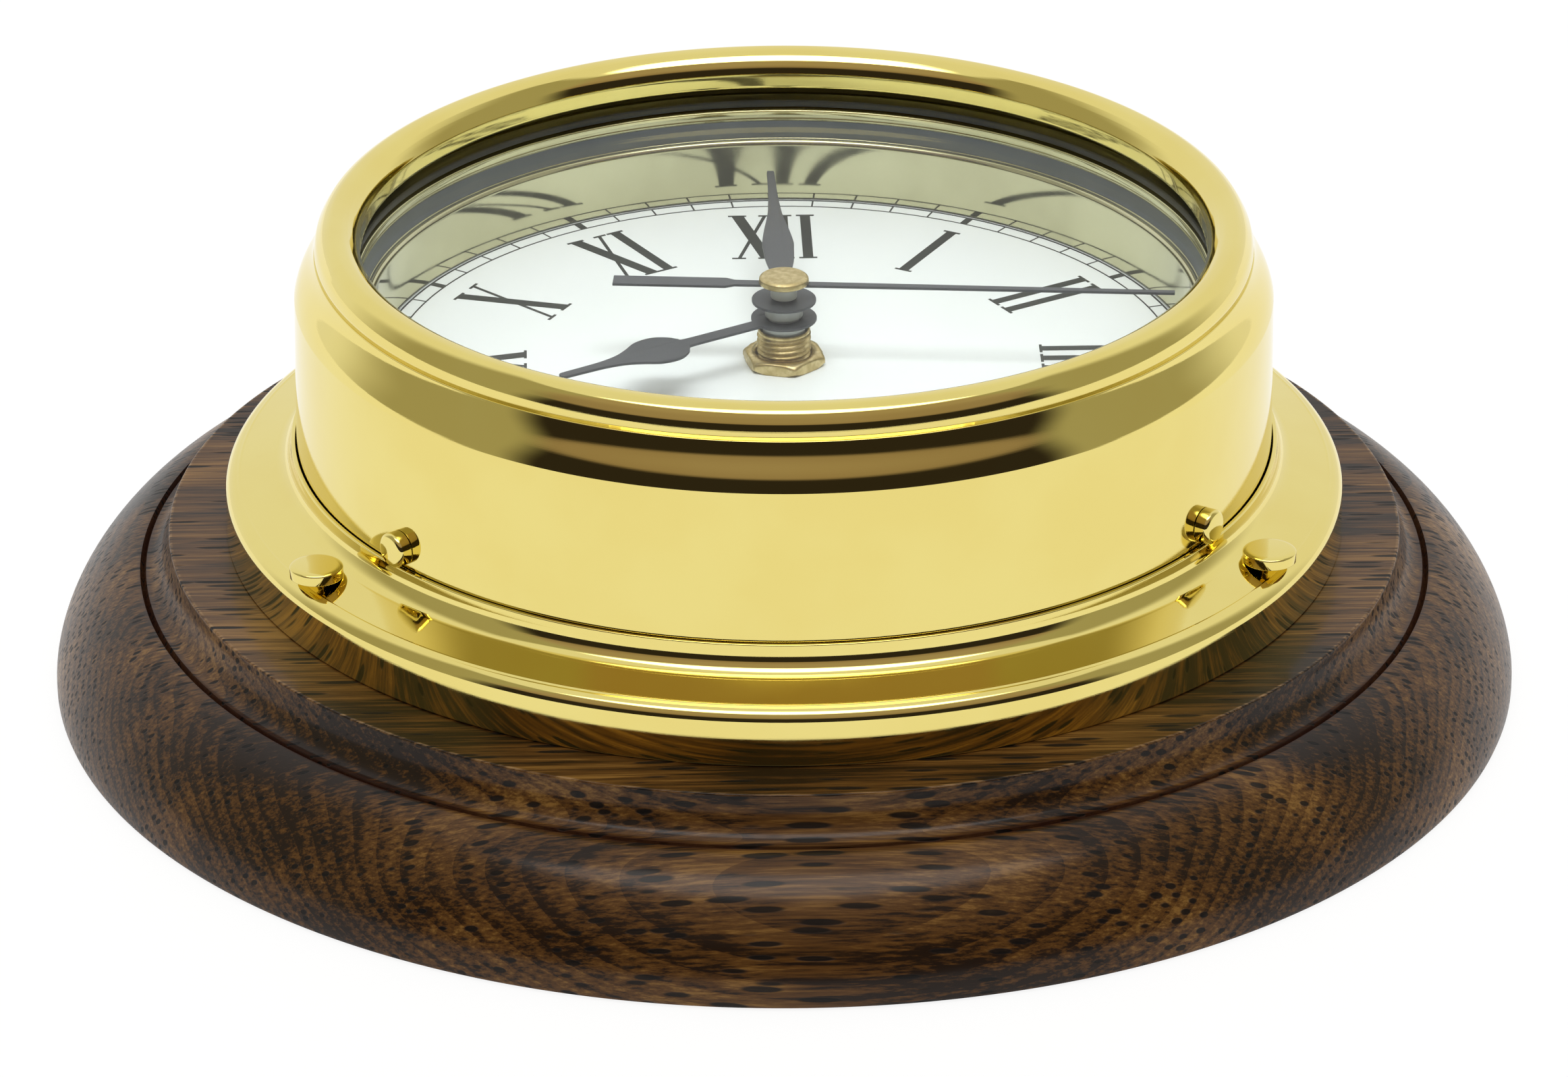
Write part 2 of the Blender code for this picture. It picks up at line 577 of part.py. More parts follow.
def make_second_arbor():
    """Steel arbor with its pinion, carrying the second wheel and, in front, the second hand."""
    low = COVER_FRONT_Z + GAP
    top = SECOND_HAND_Z - GAP
    radius = SECOND_ARBOR_RADIUS
    shaft = [(0, top), (radius, top), (radius, 38.4), (0.5, 38.4), (0.5, low), (0, low)]
    arbor = turned("second_arbor", "zinc_steel", shaft, steps=12)
    join(arbor, gear("second_pinion", None, SECOND_PINION_TEETH, THIRD_MODULE, 37.4, PINION_THICKNESS, 0.0))
    teeth = SECOND_WHEEL_TEETH
    gear("second_wheel", "pale_nylon", teeth, TRAIN_MODULE, 39.4, WHEEL_THICKNESS, 0.0, bore=1.0)


def make_third_wheel():
    phase = meshing_phase(0.0, SECOND_PINION_TEETH, THIRD_ANGLE, THIRD_WHEEL_TEETH)
    arbor = rod("third_wheel", "pale_nylon", 0.5, COVER_FRONT_Z + GAP, 45.9, THIRD_AXIS, sides=10)
    disc = gear("third_disc", None, THIRD_WHEEL_TEETH, THIRD_MODULE, 37.6, WHEEL_THICKNESS, phase,
                THIRD_AXIS)
    pinion = gear("third_pinion", None, THIRD_PINION_TEETH, TRAIN_MODULE, 40.8, PINION_THICKNESS, 0.0,
                  THIRD_AXIS)
    join(arbor, disc, pinion)
    phase = meshing_phase(0.0, THIRD_PINION_TEETH, THIRD_ANGLE + 180, CENTRE_WHEEL_TEETH)
    bore = MINUTE_TUBE_RADIUS + GAP
    teeth = CENTRE_WHEEL_TEETH
    gear("centre_wheel", "pale_nylon", teeth, TRAIN_MODULE, 41.0, WHEEL_THICKNESS, phase, bore=bore)


def make_intermediate_wheel_and_rotor():
    low = COVER_FRONT_Z + GAP
    phase = meshing_phase(0.0, SECOND_WHEEL_TEETH, INTERMEDIATE_ANGLE, INTERMEDIATE_PINION_TEETH)
    arbor = rod("intermediate_wheel", "pale_nylon", 0.5, low, 40.4, INTERMEDIATE_AXIS, sides=10)
    join(arbor, gear("intermediate_disc", None, INTERMEDIATE_WHEEL_TEETH, ROTOR_MODULE, 36.0,
                     WHEEL_THICKNESS, 0.0, INTERMEDIATE_AXIS))
    join(arbor, gear("intermediate_pinion", None, INTERMEDIATE_PINION_TEETH, TRAIN_MODULE, 39.2,
                     PINION_THICKNESS, phase, INTERMEDIATE_AXIS))
    phase = meshing_phase(0.0, INTERMEDIATE_WHEEL_TEETH, ROTOR_ANGLE, ROTOR_PINION_TEETH)
    rotor = rod("rotor", "pale_nylon", 0.5, low, 37.6, ROTOR_AXIS, sides=10)
    join(rotor, gear("rotor_pinion", None, ROTOR_PINION_TEETH, ROTOR_MODULE, 35.8, PINION_THICKNESS,
                     phase, ROTOR_AXIS))
    ring("rotor_magnet", "zinc_steel", 3.0, 0.8, 33.9, 35.4, ROTOR_AXIS, steps=SMALL_STEPS)


def make_cannon_pinion():
    """The tube that carries the minute hand, with the pinion that drives the motion work."""
    tube = MINUTE_TUBE_RADIUS
    top = MINUTE_HAND_Z - GAP
    outside = [(0, top), (1.7, top), (1.7, 56.4), (tube, 56.4), (tube, 43.4), (1.5, 43.4), (1.5, 42.4),
               (tube, 42.4), (tube, 40.7), (0, 40.7)]
    cannon = turned("cannon_pinion", "pale_nylon", outside, steps=SMALL_STEPS)
    join(cannon, gear("cannon_teeth", None, CANNON_TEETH, MOTION_MODULE, 42.3, 1.2, 0.0))
    cut(cannon, rod("cannon_bore", None, MINUTE_TUBE_BORE, 40.0, 60.0, sides=12))


def make_motion_work():
    """The motion wheel rides a post in the housing; the hour wheel's tube runs out through the bush."""
    wheel_phase = meshing_phase(0.0, CANNON_TEETH, MOTION_ANGLE, MOTION_WHEEL_TEETH)
    hub = rod("motion_wheel", "pale_nylon", 1.15, 42.4, 45.2, MOTION_AXIS, sides=12)
    join(hub, gear("motion_disc", None, MOTION_WHEEL_TEETH, MOTION_MODULE, 42.5, 0.8, wheel_phase,
                   MOTION_AXIS))
    join(hub, gear("motion_pinion", None, MOTION_PINION_TEETH, HOUR_MODULE, 43.9, 1.2, 0.0, MOTION_AXIS))
    cut(hub, rod("motion_bore", None, 0.8, 42.0, 46.0, MOTION_AXIS, sides=10))
    phase = meshing_phase(0.0, MOTION_PINION_TEETH, MOTION_ANGLE + 180, HOUR_WHEEL_TEETH)
    tube = rod("hour_wheel", "pale_nylon", HOUR_TUBE_RADIUS, 44.1, HOUR_HAND_Z - GAP)
    join(tube, gear("hour_disc", None, HOUR_WHEEL_TEETH, HOUR_MODULE, 44.2, 0.8, phase))
    cut(tube, rod("hour_bore", None, HOUR_TUBE_BORE, 43.0, 58.0))
    knob_phase = meshing_phase(wheel_phase, MOTION_WHEEL_TEETH, KNOB_ANGLE, CANNON_TEETH)
    knob_top = COVER_BACK_Z - GAP
    grip = [(0, 42.4), (1.4, 42.4), (1.4, knob_top), (5.0, knob_top), (5.0, KNOB_BACK_Z), (0, KNOB_BACK_Z)]
    knob = turned("set_knob", "black_plastic", grip, KNOB_AXIS, SMALL_STEPS)
    join(knob, gear("knob_pinion", None, CANNON_TEETH, MOTION_MODULE, 42.3, 1.2, knob_phase, KNOB_AXIS))


# Movement housing and electrics


def make_movement_case():
    half = MOVEMENT_HALF
    corners = (-half, -half, HOUSING_BACK_Z), (half, half, HOUSING_FRONT_Z)
    housing = block("movement_housing", "black_plastic", *corners, 3.0)
    room = block("gear_room", None, (-26.5, GEAR_ROOM_LOW_Y, 30.0), (26.5, 26.5, GEAR_ROOM_TOP_Z))
    bay = block("battery_bay", None, (-27.0, -26.7, 30.0), (27.0, GEAR_ROOM_LOW_Y - 1.4, 46.5))
    cut(housing, room, bay, rod("bush_hole", None, BUSH_RADIUS + GAP, 44.0, 50.0, sides=24))
    join(housing, rod("motion_post", None, 0.5, 42.6, GEAR_ROOM_TOP_Z + 0.5, MOTION_AXIS, sides=10))
    cover_low = (-half, GEAR_ROOM_LOW_Y - 0.3, COVER_BACK_Z)
    cover = block("movement_cover", "black_plastic", cover_low, (half, half, COVER_FRONT_Z), 2.0)
    cut(cover, rod("knob_hole", None, 1.8, 29.0, 33.0, KNOB_AXIS))


def make_motor():
    """Stator plate round the rotor, with the coil on its own core across the stator's two ends."""
    outline = [(9.8, -8.6), (25.4, -8.6), (25.4, -5.6), (18.2, -5.6), (18.2, 22.6), (25.4, 22.6),
               (25.4, 25.6), (9.8, 25.6)]
    plate("stator_plate", "zinc_steel", [outline, circle(3.6, 20, ROTOR_AXIS)], 34.2, 35.2)
    block("coil_core", "zinc_steel", (21.3, -8.6, 35.5), (23.3, 25.6, 36.5))
    coil = block("drive_coil", "copper_winding", (19.3, -4.6, 33.0), (25.3, 21.6, 39.0), 0.8)
    cut(coil, block("coil_bore", None, (21.0, -10.0, 35.2), (23.6, 30.0, 36.8)))


def make_electrics():
    block("circuit_board", "green_board", (-26.0, -8.0, 36.0), (-16.5, 24.0, 37.0))
    can = rod("quartz_crystal", "zinc_steel", 1.5, 0.0, 7.0, sides=14)
    can.rotation_euler.y = math.pi / 2
    can.location = (-24.8 * MM, 18.0 * MM, 38.9 * MM)
    cell = [(0, BATTERY_LENGTH), (2.7, BATTERY_LENGTH), (2.7, BATTERY_LENGTH - 1.4),
            (BATTERY_RADIUS, BATTERY_LENGTH - 1.4), (BATTERY_RADIUS, 0), (0, 0)]
    battery = turned("battery", "battery_jacket", cell, steps=20)
    battery.rotation_euler.y = math.pi / 2
    battery.location = (-BATTERY_LENGTH / 2 * MM, BATTERY_Y * MM, BATTERY_Z * MM)
    for number, side in enumerate((-1, 1), 1):
        near, far = sorted((side * 25.7, side * 26.5))
        corners = (near, BATTERY_Y - 5, 34.0), (far, BATTERY_Y + 5, 44.5)
        block(f"battery_contact_{number}", "zinc_steel", *corners)


make_wall_mount()
make_hanger()
make_base_flange()
make_case_drum()
make_case_screws()
make_bezel()
make_glass_and_gasket()
make_dial_ring()
make_dial()
make_bush_and_nut()
make_hour_and_minute_hands()
make_second_hand()
make_hand_sleeves()
make_second_arbor()
make_third_wheel()
make_intermediate_wheel_and_rotor()
make_cannon_pinion()
make_motion_work()
make_movement_case()
make_motor()
make_electrics()
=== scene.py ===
"""The looks of a ship's deck clock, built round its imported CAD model.

Pieces are made in millimetres in the row frame and scaled to metres as they are placed. Overall
sizes come from the CAD nodes' boxes; the named values below are the details between them.
"""

import json
import math

import bmesh
import bpy
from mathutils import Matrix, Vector


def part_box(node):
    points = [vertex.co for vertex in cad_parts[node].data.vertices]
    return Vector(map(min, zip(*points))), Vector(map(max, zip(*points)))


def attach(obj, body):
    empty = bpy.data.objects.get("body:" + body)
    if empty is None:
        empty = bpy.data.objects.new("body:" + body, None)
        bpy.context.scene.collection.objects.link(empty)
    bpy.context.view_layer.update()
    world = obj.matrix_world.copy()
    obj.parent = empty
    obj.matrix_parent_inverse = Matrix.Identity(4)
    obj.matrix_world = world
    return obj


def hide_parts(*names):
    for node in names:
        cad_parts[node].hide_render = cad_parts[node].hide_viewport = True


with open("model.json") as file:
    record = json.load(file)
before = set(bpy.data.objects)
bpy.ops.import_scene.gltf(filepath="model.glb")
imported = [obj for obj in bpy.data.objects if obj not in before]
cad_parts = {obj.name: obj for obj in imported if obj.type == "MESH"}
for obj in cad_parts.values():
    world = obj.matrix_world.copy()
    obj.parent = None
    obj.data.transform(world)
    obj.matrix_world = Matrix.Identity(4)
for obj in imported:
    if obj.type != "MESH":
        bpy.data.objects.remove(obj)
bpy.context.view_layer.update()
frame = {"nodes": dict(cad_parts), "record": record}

MM = 0.001
FULL_TURN = 2 * math.pi
STEPS = 240
CASE = "case"


def box_mm(node):
    low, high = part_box(node)
    return low / MM, high / MM


# Nodes in graphs


class Graph:
    """Short calls for the shader nodes used here."""

    def __init__(self, tree):
        self.tree = tree
        self.tree.nodes.clear()

    def node(self, kind, inputs=None, **settings):
        made = self.tree.nodes.new("ShaderNode" + kind)
        for name, value in settings.items():
            setattr(made, name, value)
        for name, value in (inputs or {}).items():
            self.feed(made.inputs[name], value)
        return made

    def feed(self, socket, value):
        if isinstance(value, bpy.types.NodeSocket):
            self.tree.links.new(value, socket)
        elif value is not None:
            socket.default_value = (*value, 1.0) if socket.type == "RGBA" else value

    def math(self, operation, a, b=None, c=None, clamp=False):
        made = self.node("Math", operation=operation, use_clamp=clamp)
        for index, value in enumerate((a, b, c)):
            self.feed(made.inputs[index], value)
        return made.outputs[0]

    def vector(self, operation, a, b=None, scale=None):
        made = self.node("VectorMath", operation=operation)
        for index, value in enumerate((a, b, None, scale)):
            self.feed(made.inputs[index], value)
        return made.outputs["Value" if operation in ("LENGTH", "DOT_PRODUCT") else "Vector"]

    def split(self, vector):
        return self.node("SeparateXYZ", {"Vector": vector}).outputs

    def join(self, x, y, z):
        return self.node("CombineXYZ", {"X": x, "Y": y, "Z": z}).outputs[0]

    def noise(self, vector, scale=1.0, detail=2.0, roughness=0.5):
        inputs = {"Vector": vector, "Scale": scale, "Detail": detail, "Roughness": roughness}
        return self.node("TexNoise", inputs).outputs["Fac"]

    def fade(self, value, start, end, low=0.0, high=1.0):
        """Smooth change from low at start to high at end."""
        made = self.node("MapRange", interpolation_type="SMOOTHSTEP")
        inputs = {"Value": value, "From Min": start, "From Max": end, "To Min": low, "To Max": high}
        for name, given in inputs.items():
            self.feed(made.inputs[name], given)
        return made.outputs["Result"]

    def band(self, value, low, high, soft):
        """1 between low and high, with soft sides."""
        rise = self.fade(value, low - soft, low + soft)
        fall = self.fade(value, high - soft, high + soft, 1.0, 0.0)
        return self.math("MULTIPLY", rise, fall)

    def mix(self, factor, a, b):
        made = self.node("Mix", data_type="RGBA")
        for index, value in ((0, factor), (6, a), (7, b)):
            self.feed(made.inputs[index], value)
        return made.outputs[2]

    def bump(self, height, distance, strength=1.0, normal=None):
        inputs = {"Height": height, "Distance": distance, "Strength": strength}
        made = self.node("Bump", inputs)
        self.feed(made.inputs["Normal"], normal)
        return made.outputs[0]


def new_material(name, build, **plain):
    """A Principled material: plain sockets are set on the shader, and build gives the linked ones."""
    made = bpy.data.materials.new(name)
    made.use_nodes = True
    graph = Graph(made.node_tree)
    shader = graph.node("BsdfPrincipled")
    for socket, value in {**plain, **build(graph)}.items():
        graph.feed(shader.inputs[socket.replace("_", " ")], value)
    output = graph.node("OutputMaterial")
    graph.feed(output.inputs["Surface"], shader.outputs[0])
    return made


def position_mm(graph):
    place = graph.node("TexCoord").outputs["Object"]
    return graph.vector("SCALE", place, scale=1 / MM)


def brass_look(bright, deep, smooth, dull):
    """Brass with a slightly uneven tone, faint turning lines round the clock's axis and small waves."""

    def build(graph):
        place = position_mm(graph)
        x, y, z = graph.split(place)
        radius = graph.vector("LENGTH", graph.join(x, y, 0.0))
        tone = graph.noise(place, 0.05, 3.0)
        lines = graph.noise(graph.join(radius, z, 0.0), 9.0, 3.0, 0.6)
        smudge = graph.noise(place, 0.11, 4.0, 0.6)
        waves = graph.noise(place, 0.06, 1.0)
        normal = graph.bump(waves, 0.00035, 0.10)
        normal = graph.bump(lines, 0.000004, 0.35, normal)
        return {
            "Base Color": graph.mix(graph.fade(tone, 0.35, 0.65), bright, deep),
            "Roughness": graph.fade(smudge, 0.38, 0.70, smooth, dull),
            "Normal": normal,
        }

    return build


POLISHED_BRASS = new_material(
    "polished_brass_looks", brass_look((0.815, 0.69, 0.235), (0.80, 0.665, 0.215), 0.03, 0.07), Metallic=1.0)


def worn_brass(graph):
    place = position_mm(graph)
    tone = graph.noise(place, 0.9, 4.0, 0.6)
    scratch = graph.noise(graph.vector("MULTIPLY", place, Vector((5.0, 5.0, 0.8))), 1.6, 3.0)
    return {
        "Base Color": graph.mix(graph.fade(tone, 0.35, 0.7), (0.50, 0.39, 0.17), (0.68, 0.56, 0.29)),
        "Roughness": graph.fade(tone, 0.3, 0.7, 0.44, 0.28),
        "Normal": graph.bump(scratch, 0.00004, 0.4),
    }


PALE_BRASS = new_material(
    "pale_brass_looks", brass_look((0.60, 0.58, 0.37), (0.52, 0.50, 0.31), 0.05, 0.11), Metallic=1.0)
WORN_BRASS = new_material("worn_brass_looks", worn_brass, Metallic=1.0)

# Oak

RING_CENTRE_Y, RING_CENTRE_Z = 40.0, -150.0
RING_WIDTH = 1.7
HEART_DISTANCE, RING_DRIFT = 175.0, 14.0
PORE_LENGTH, PORE_SPACING = 12.0, 1.35
GROOVE_RADIUS = 95.4
LAND_RADIUS = 91.6


def oak_look(graph):
    """Ring-porous oak cut along X: long pores lie in rows that follow the growth rings."""
    place = position_mm(graph)
    x, y, z = graph.split(place)
    drift = graph.noise(graph.vector("MULTIPLY", place, Vector((0.006, 0.02, 0.02))), 1.0, 2.0)
    from_heart = graph.vector("SUBTRACT", graph.join(0.0, y, z), Vector((0.0, RING_CENTRE_Y, RING_CENTRE_Z)))
    distance = graph.vector("LENGTH", from_heart)
    distance = graph.math("MULTIPLY_ADD", drift, RING_DRIFT, distance)
    ring = graph.math("FRACT", graph.math("DIVIDE", distance, RING_WIDTH))
    early = graph.fade(ring, 0.10, 0.62, 1.0, 0.0)
    _, heart_y, heart_z = graph.split(from_heart)
    along = graph.math("MULTIPLY", graph.math("ARCTAN2", heart_y, heart_z), HEART_DISTANCE / PORE_SPACING)
    ring_count = graph.math("DIVIDE", distance, RING_WIDTH)
    cells = graph.join(graph.math("DIVIDE", x, PORE_LENGTH), along, ring_count)
    cells = graph.node("TexVoronoi", {"Vector": cells, "Scale": 1.0, "Randomness": 0.6})
    pore_distance = cells.outputs["Distance"]
    fibre = graph.noise(graph.vector("MULTIPLY", place, Vector((0.05, 1.9, 1.9))), 1.0, 6.0, 0.70)
    patch = graph.noise(graph.vector("MULTIPLY", place, Vector((0.02, 0.05, 0.05))), 1.0, 3.0)
    pore_size = graph.fade(patch, 0.35, 0.65, 0.24, 0.36)
    pore = graph.fade(pore_distance, graph.math("MULTIPLY", pore_size, 0.7), pore_size, 1.0, 0.0)
    tone = graph.math("MULTIPLY_ADD", graph.math("SUBTRACT", patch, 0.5), 0.9, fibre)
    tone = graph.math("MULTIPLY_ADD", early, -0.10, tone)
    colour = graph.mix(graph.fade(tone, 0.33, 0.52), (0.014, 0.0056, 0.0013), (0.092, 0.038, 0.0072))
    colour = graph.mix(graph.fade(tone, 0.50, 0.74), colour, (0.235, 0.118, 0.027))
    radius = graph.vector("LENGTH", graph.join(x, y, 0.0))
    front = graph.fade(z, 4.0, 6.0)
    # Darker at the bottom of the groove: painted shade in the recess.
    groove = graph.math("MULTIPLY", graph.band(radius, GROOVE_RADIUS - 0.6, GROOVE_RADIUS + 0.8, 0.5), front)
    colour = graph.mix(graph.math("MULTIPLY", groove, 0.8), colour, (0.028, 0.007, 0.003))
    # A lighter, broken band on the land's rounded edge: a painted highlight.
    edge = graph.band(radius, LAND_RADIUS - 0.45, LAND_RADIUS - 0.1, 0.15)
    edge = graph.math("MULTIPLY", graph.math("MULTIPLY", edge, front), graph.fade(fibre, 0.45, 0.62))
    colour = graph.mix(graph.math("MULTIPLY", edge, 0.7), colour, (0.36, 0.22, 0.10))
    colour = graph.mix(graph.math("MULTIPLY", pore, 0.92), colour, (0.003, 0.002, 0.0015))
    height = graph.math("SUBTRACT", graph.math("MULTIPLY", fibre, 0.22), pore)
    gloss = graph.fade(fibre, 0.3, 0.7, 0.48, 0.38)
    return {
        "Base Color": colour,
        "Roughness": graph.math("MULTIPLY_ADD", pore, 0.3, gloss),
        "Normal": graph.bump(height, 0.00022, 0.55),
    }


DARK_OAK = new_material("dark_oak_looks", oak_look, Specular_IOR_Level=0.10,
                        Coat_Weight=0.30, Coat_Roughness=0.17)


def glass_material():
    """Clear glass that lets lamps through to the dial."""
    made = bpy.data.materials.new("clear_glass_looks")
    made.use_nodes = True
    graph = Graph(made.node_tree)
    shader = graph.node("BsdfPrincipled")
    for socket, value in (("Base Color", (0.985, 0.996, 0.996, 1.0)),
                          ("Transmission Weight", 1.0), ("IOR", 1.01),
                          ("Coat Weight", 0.22), ("Coat IOR", 1.5), ("Coat Roughness", 0.0)):
        shader.inputs[socket].default_value = value
    place = position_mm(graph)
    dust = graph.noise(place, 0.4, 4.0, 0.7)
    graph.feed(shader.inputs["Roughness"], graph.fade(dust, 0.4, 0.8, 0.0, 0.012))
    clear = graph.node("BsdfTransparent", {"Color": (0.98, 0.995, 0.995)})
    shadow = graph.node("LightPath").outputs["Is Shadow Ray"]
    choice = graph.node("MixShader")
    for index, value in enumerate((shadow, shader.outputs[0], clear.outputs[0])):
        graph.feed(choice.inputs[index], value)
    graph.feed(graph.node("OutputMaterial").inputs["Surface"], choice.outputs[0])
    return made


CLEAR_GLASS = glass_material()


def rubber_look(graph):
    place = position_mm(graph)
    grain = graph.noise(place, 6.0, 3.0, 0.6)
    return {
        "Base Color": graph.mix(grain, (0.008, 0.009, 0.010), (0.022, 0.024, 0.026)),
        "Roughness": graph.fade(grain, 0.3, 0.7, 0.42, 0.6),
        "Normal": graph.bump(grain, 0.00002, 0.4),
    }


BLACK_RUBBER = new_material("black_rubber_looks", rubber_look)


def enamel_look(graph):
    place = position_mm(graph)
    cloud = graph.noise(place, 0.05, 3.0)
    grain = graph.noise(place, 3.0, 2.0)
    return {
        "Base Color": graph.mix(cloud, (0.815, 0.87, 0.875), (0.85, 0.895, 0.90)),
        "Roughness": graph.fade(cloud, 0.3, 0.7, 0.30, 0.38),
        "Normal": graph.bump(grain, 0.000004, 0.3),
    }


WHITE_ENAMEL = new_material("white_enamel_looks", enamel_look)


def print_look(graph):
    place = position_mm(graph)
    cover = graph.noise(place, 2.2, 4.0, 0.7)
    return {
        "Base Color": graph.mix(graph.fade(cover, 0.35, 0.75), (0.018, 0.022, 0.020), (0.045, 0.050, 0.044)),
        "Roughness": graph.fade(cover, 0.3, 0.7, 0.34, 0.5),
    }


DIAL_PRINT = new_material("dial_print_looks", print_look)


def hand_look(graph):
    place = position_mm(graph)
    grain = graph.noise(place, 5.0, 4.0, 0.65)
    return {
        "Base Color": graph.mix(grain, (0.050, 0.054, 0.060), (0.085, 0.090, 0.098)),
        "Roughness": graph.fade(grain, 0.3, 0.7, 0.36, 0.5),
        "Normal": graph.bump(grain, 0.000012, 0.5),
    }


BLACK_HAND = new_material("black_hand_looks", hand_look, Metallic=0.35)


def moulded_look(dark, light, rough):
    """Moulded plastic with a fine eroded texture."""

    def build(graph):
        place = position_mm(graph)
        grain = graph.noise(place, 7.0, 3.0, 0.6)
        cloud = graph.noise(place, 0.12, 2.0)
        return {
            "Base Color": graph.mix(cloud, dark, light),
            "Roughness": graph.fade(grain, 0.3, 0.7, rough - 0.08, rough + 0.08),
            "Normal": graph.bump(grain, 0.00003, 0.4),
        }

    return build


PALE_NYLON = new_material("pale_nylon_looks", moulded_look((0.55, 0.58, 0.57), (0.66, 0.69, 0.68), 0.42),
                          Subsurface_Weight=0.2, Subsurface_Radius=(0.002, 0.002, 0.002))
BLACK_PLASTIC = new_material(
    "black_plastic_looks", moulded_look((0.018, 0.018, 0.02), (0.03, 0.03, 0.032), 0.5))
# Grey for the thin sheet on the dial ring's slope: a painted reflection laid over the brass.
PAINTED_GREY_REFLECTION = new_material("painted_grey_reflection_looks", moulded_look((0.07, 0.085, 0.09), (0.11, 0.125, 0.13), 0.45))
GREEN_BOARD = new_material("green_board_looks", moulded_look((0.02, 0.13, 0.06), (0.03, 0.18, 0.08), 0.35))


def steel_look(graph):
    place = position_mm(graph)
    brushed = graph.noise(graph.vector("MULTIPLY", place, Vector((0.25, 6.0, 6.0))), 1.0, 3.0)
    cloud = graph.noise(place, 0.3, 3.0)
    return {
        "Base Color": graph.mix(cloud, (0.50, 0.50, 0.49), (0.66, 0.66, 0.64)),
        "Roughness": graph.fade(brushed, 0.3, 0.7, 0.24, 0.40),
        "Normal": graph.bump(brushed, 0.00001, 0.5),
    }


ZINC_STEEL = new_material("zinc_steel_looks", steel_look, Metallic=1.0)


def winding_look(graph):
    place = position_mm(graph)
    turns = graph.node("TexWave", {"Vector": place, "Scale": 1.6, "Distortion": 0.4}, bands_direction="Y")
    turns = turns.outputs["Fac"]
    return {
        "Base Color": graph.mix(turns, (0.30, 0.09, 0.03), (0.72, 0.32, 0.14)),
        "Roughness": graph.fade(turns, 0.2, 0.8, 0.45, 0.28),
        "Normal": graph.bump(turns, 0.0001, 0.6),
    }


COPPER_WINDING = new_material("copper_winding_looks", winding_look, Metallic=0.9)


def battery_look(graph):
    """A plain printed sleeve with a brighter band at the positive end and faint shrink lines."""
    place = position_mm(graph)
    x, _, _ = graph.split(place)
    band = graph.fade(x, 9.0, 9.2)
    lines = graph.noise(graph.vector("MULTIPLY", place, Vector((0.3, 2.0, 2.0))), 1.0, 3.0)
    return {
        "Base Color": graph.mix(band, (0.035, 0.055, 0.13), (0.62, 0.48, 0.20)),
        "Roughness": graph.fade(lines, 0.3, 0.7, 0.26, 0.42),
        "Normal": graph.bump(lines, 0.00003, 0.3),
    }


BATTERY_JACKET = new_material("battery_jacket_looks", battery_look, Metallic=0.4)

SLOT_LOOKS = {
    "polished_brass": POLISHED_BRASS,
    "satin_brass": WORN_BRASS,
    "dark_oak": DARK_OAK,
    "clear_glass": CLEAR_GLASS,
    "black_rubber": BLACK_RUBBER,
    "white_enamel": WHITE_ENAMEL,
    "black_hand": BLACK_HAND,
    "pale_nylon": PALE_NYLON,
    "black_plastic": BLACK_PLASTIC,
    "zinc_steel": ZINC_STEEL,
    "copper_winding": COPPER_WINDING,
    "green_board": GREEN_BOARD,
    "battery_jacket": BATTERY_JACKET,
}


# Building pieces


def place_piece(name, mesh, slot, body=CASE, stands_for=(), look=None):
    """Links a mesh that is already in the row frame, in metres, gives it its look and hangs it on its body.
    """
    piece = bpy.data.objects.new(name, mesh)
    bpy.context.scene.collection.objects.link(piece)
    mesh.materials.clear()
    mesh.materials.append(look or SLOT_LOOKS[slot])
    even = piece.modifiers.new("even_normals", "WEIGHTED_NORMAL")
    even.weight = 60
    even.keep_sharp = True
    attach(piece, body)
    if stands_for:
        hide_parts(*stands_for)
    return piece


def rounded(corners, segments=5):
    """Points (r, z) or (r, z, fillet): each fillet becomes a short curve between its two edges."""
    made = []
    for index, corner in enumerate(corners):
        fillet = corner[2] if len(corner) > 2 else 0.0
        here = Vector(corner[:2])
        if not fillet:
            made.append(here)
            continue
        before = Vector(corners[index - 1][:2])
        after = Vector(corners[(index + 1) % len(corners)][:2])
        reach = min(fillet, 0.46 * (before - here).length, 0.46 * (after - here).length)
        start = here + (before - here).normalized() * reach
        end = here + (after - here).normalized() * reach
        for step in range(segments + 1):
            t = step / segments
            made.append(start * (1 - t) ** 2 + here * 2 * t * (1 - t) + end * t ** 2)
    return made


def arc(centre_r, centre_z, radius_r, radius_z, start, end, count):
    angles = [math.radians(start + (end - start) * i / (count - 1)) for i in range(count)]
    return [(centre_r + radius_r * math.cos(a), centre_z + radius_z * math.sin(a)) for a in angles]


def eased(line, count=6):
    """A smooth line through the given points."""
    points = [Vector(p) for p in line]
    made = [points[0]]
    for i in range(len(points) - 1):
        a, b = points[max(i - 1, 0)], points[i]
        c, d = points[i + 1], points[min(i + 2, len(points) - 1)]
        for step in range(1, count + 1):
            t = step / count
            bend = (2 * a - 5 * b + 4 * c - d) * t ** 2 + (3 * b - a - 3 * c + d) * t ** 3
            made.append(0.5 * (2 * b + (c - a) * t + bend))
    return made


def grid_mesh(name, rings, around, closed):
    """Joins rings of points into quads; a ring of one point is a pole."""
    points, starts = [], []
    for ring in rings:
        starts.append(len(points))
        points.extend(ring)
    faces = []
    pairs = list(range(len(rings) if closed else len(rings) - 1))
    for row in pairs:
        below = (row + 1) % len(rings)
        for i in range(around):
            j = (i + 1) % around
            upper = [starts[row]] if len(rings[row]) == 1 else [starts[row] + j, starts[row] + i]
            lower = [starts[below]] if len(rings[below]) == 1 else [starts[below] + i, starts[below] + j]
            faces.append(upper + lower)
    mesh = bpy.data.meshes.new(name)
    mesh.from_pydata(points, [], faces)
    mesh.polygons.foreach_set("use_smooth", [True] * len(mesh.polygons))
    mesh.update()
    return mesh


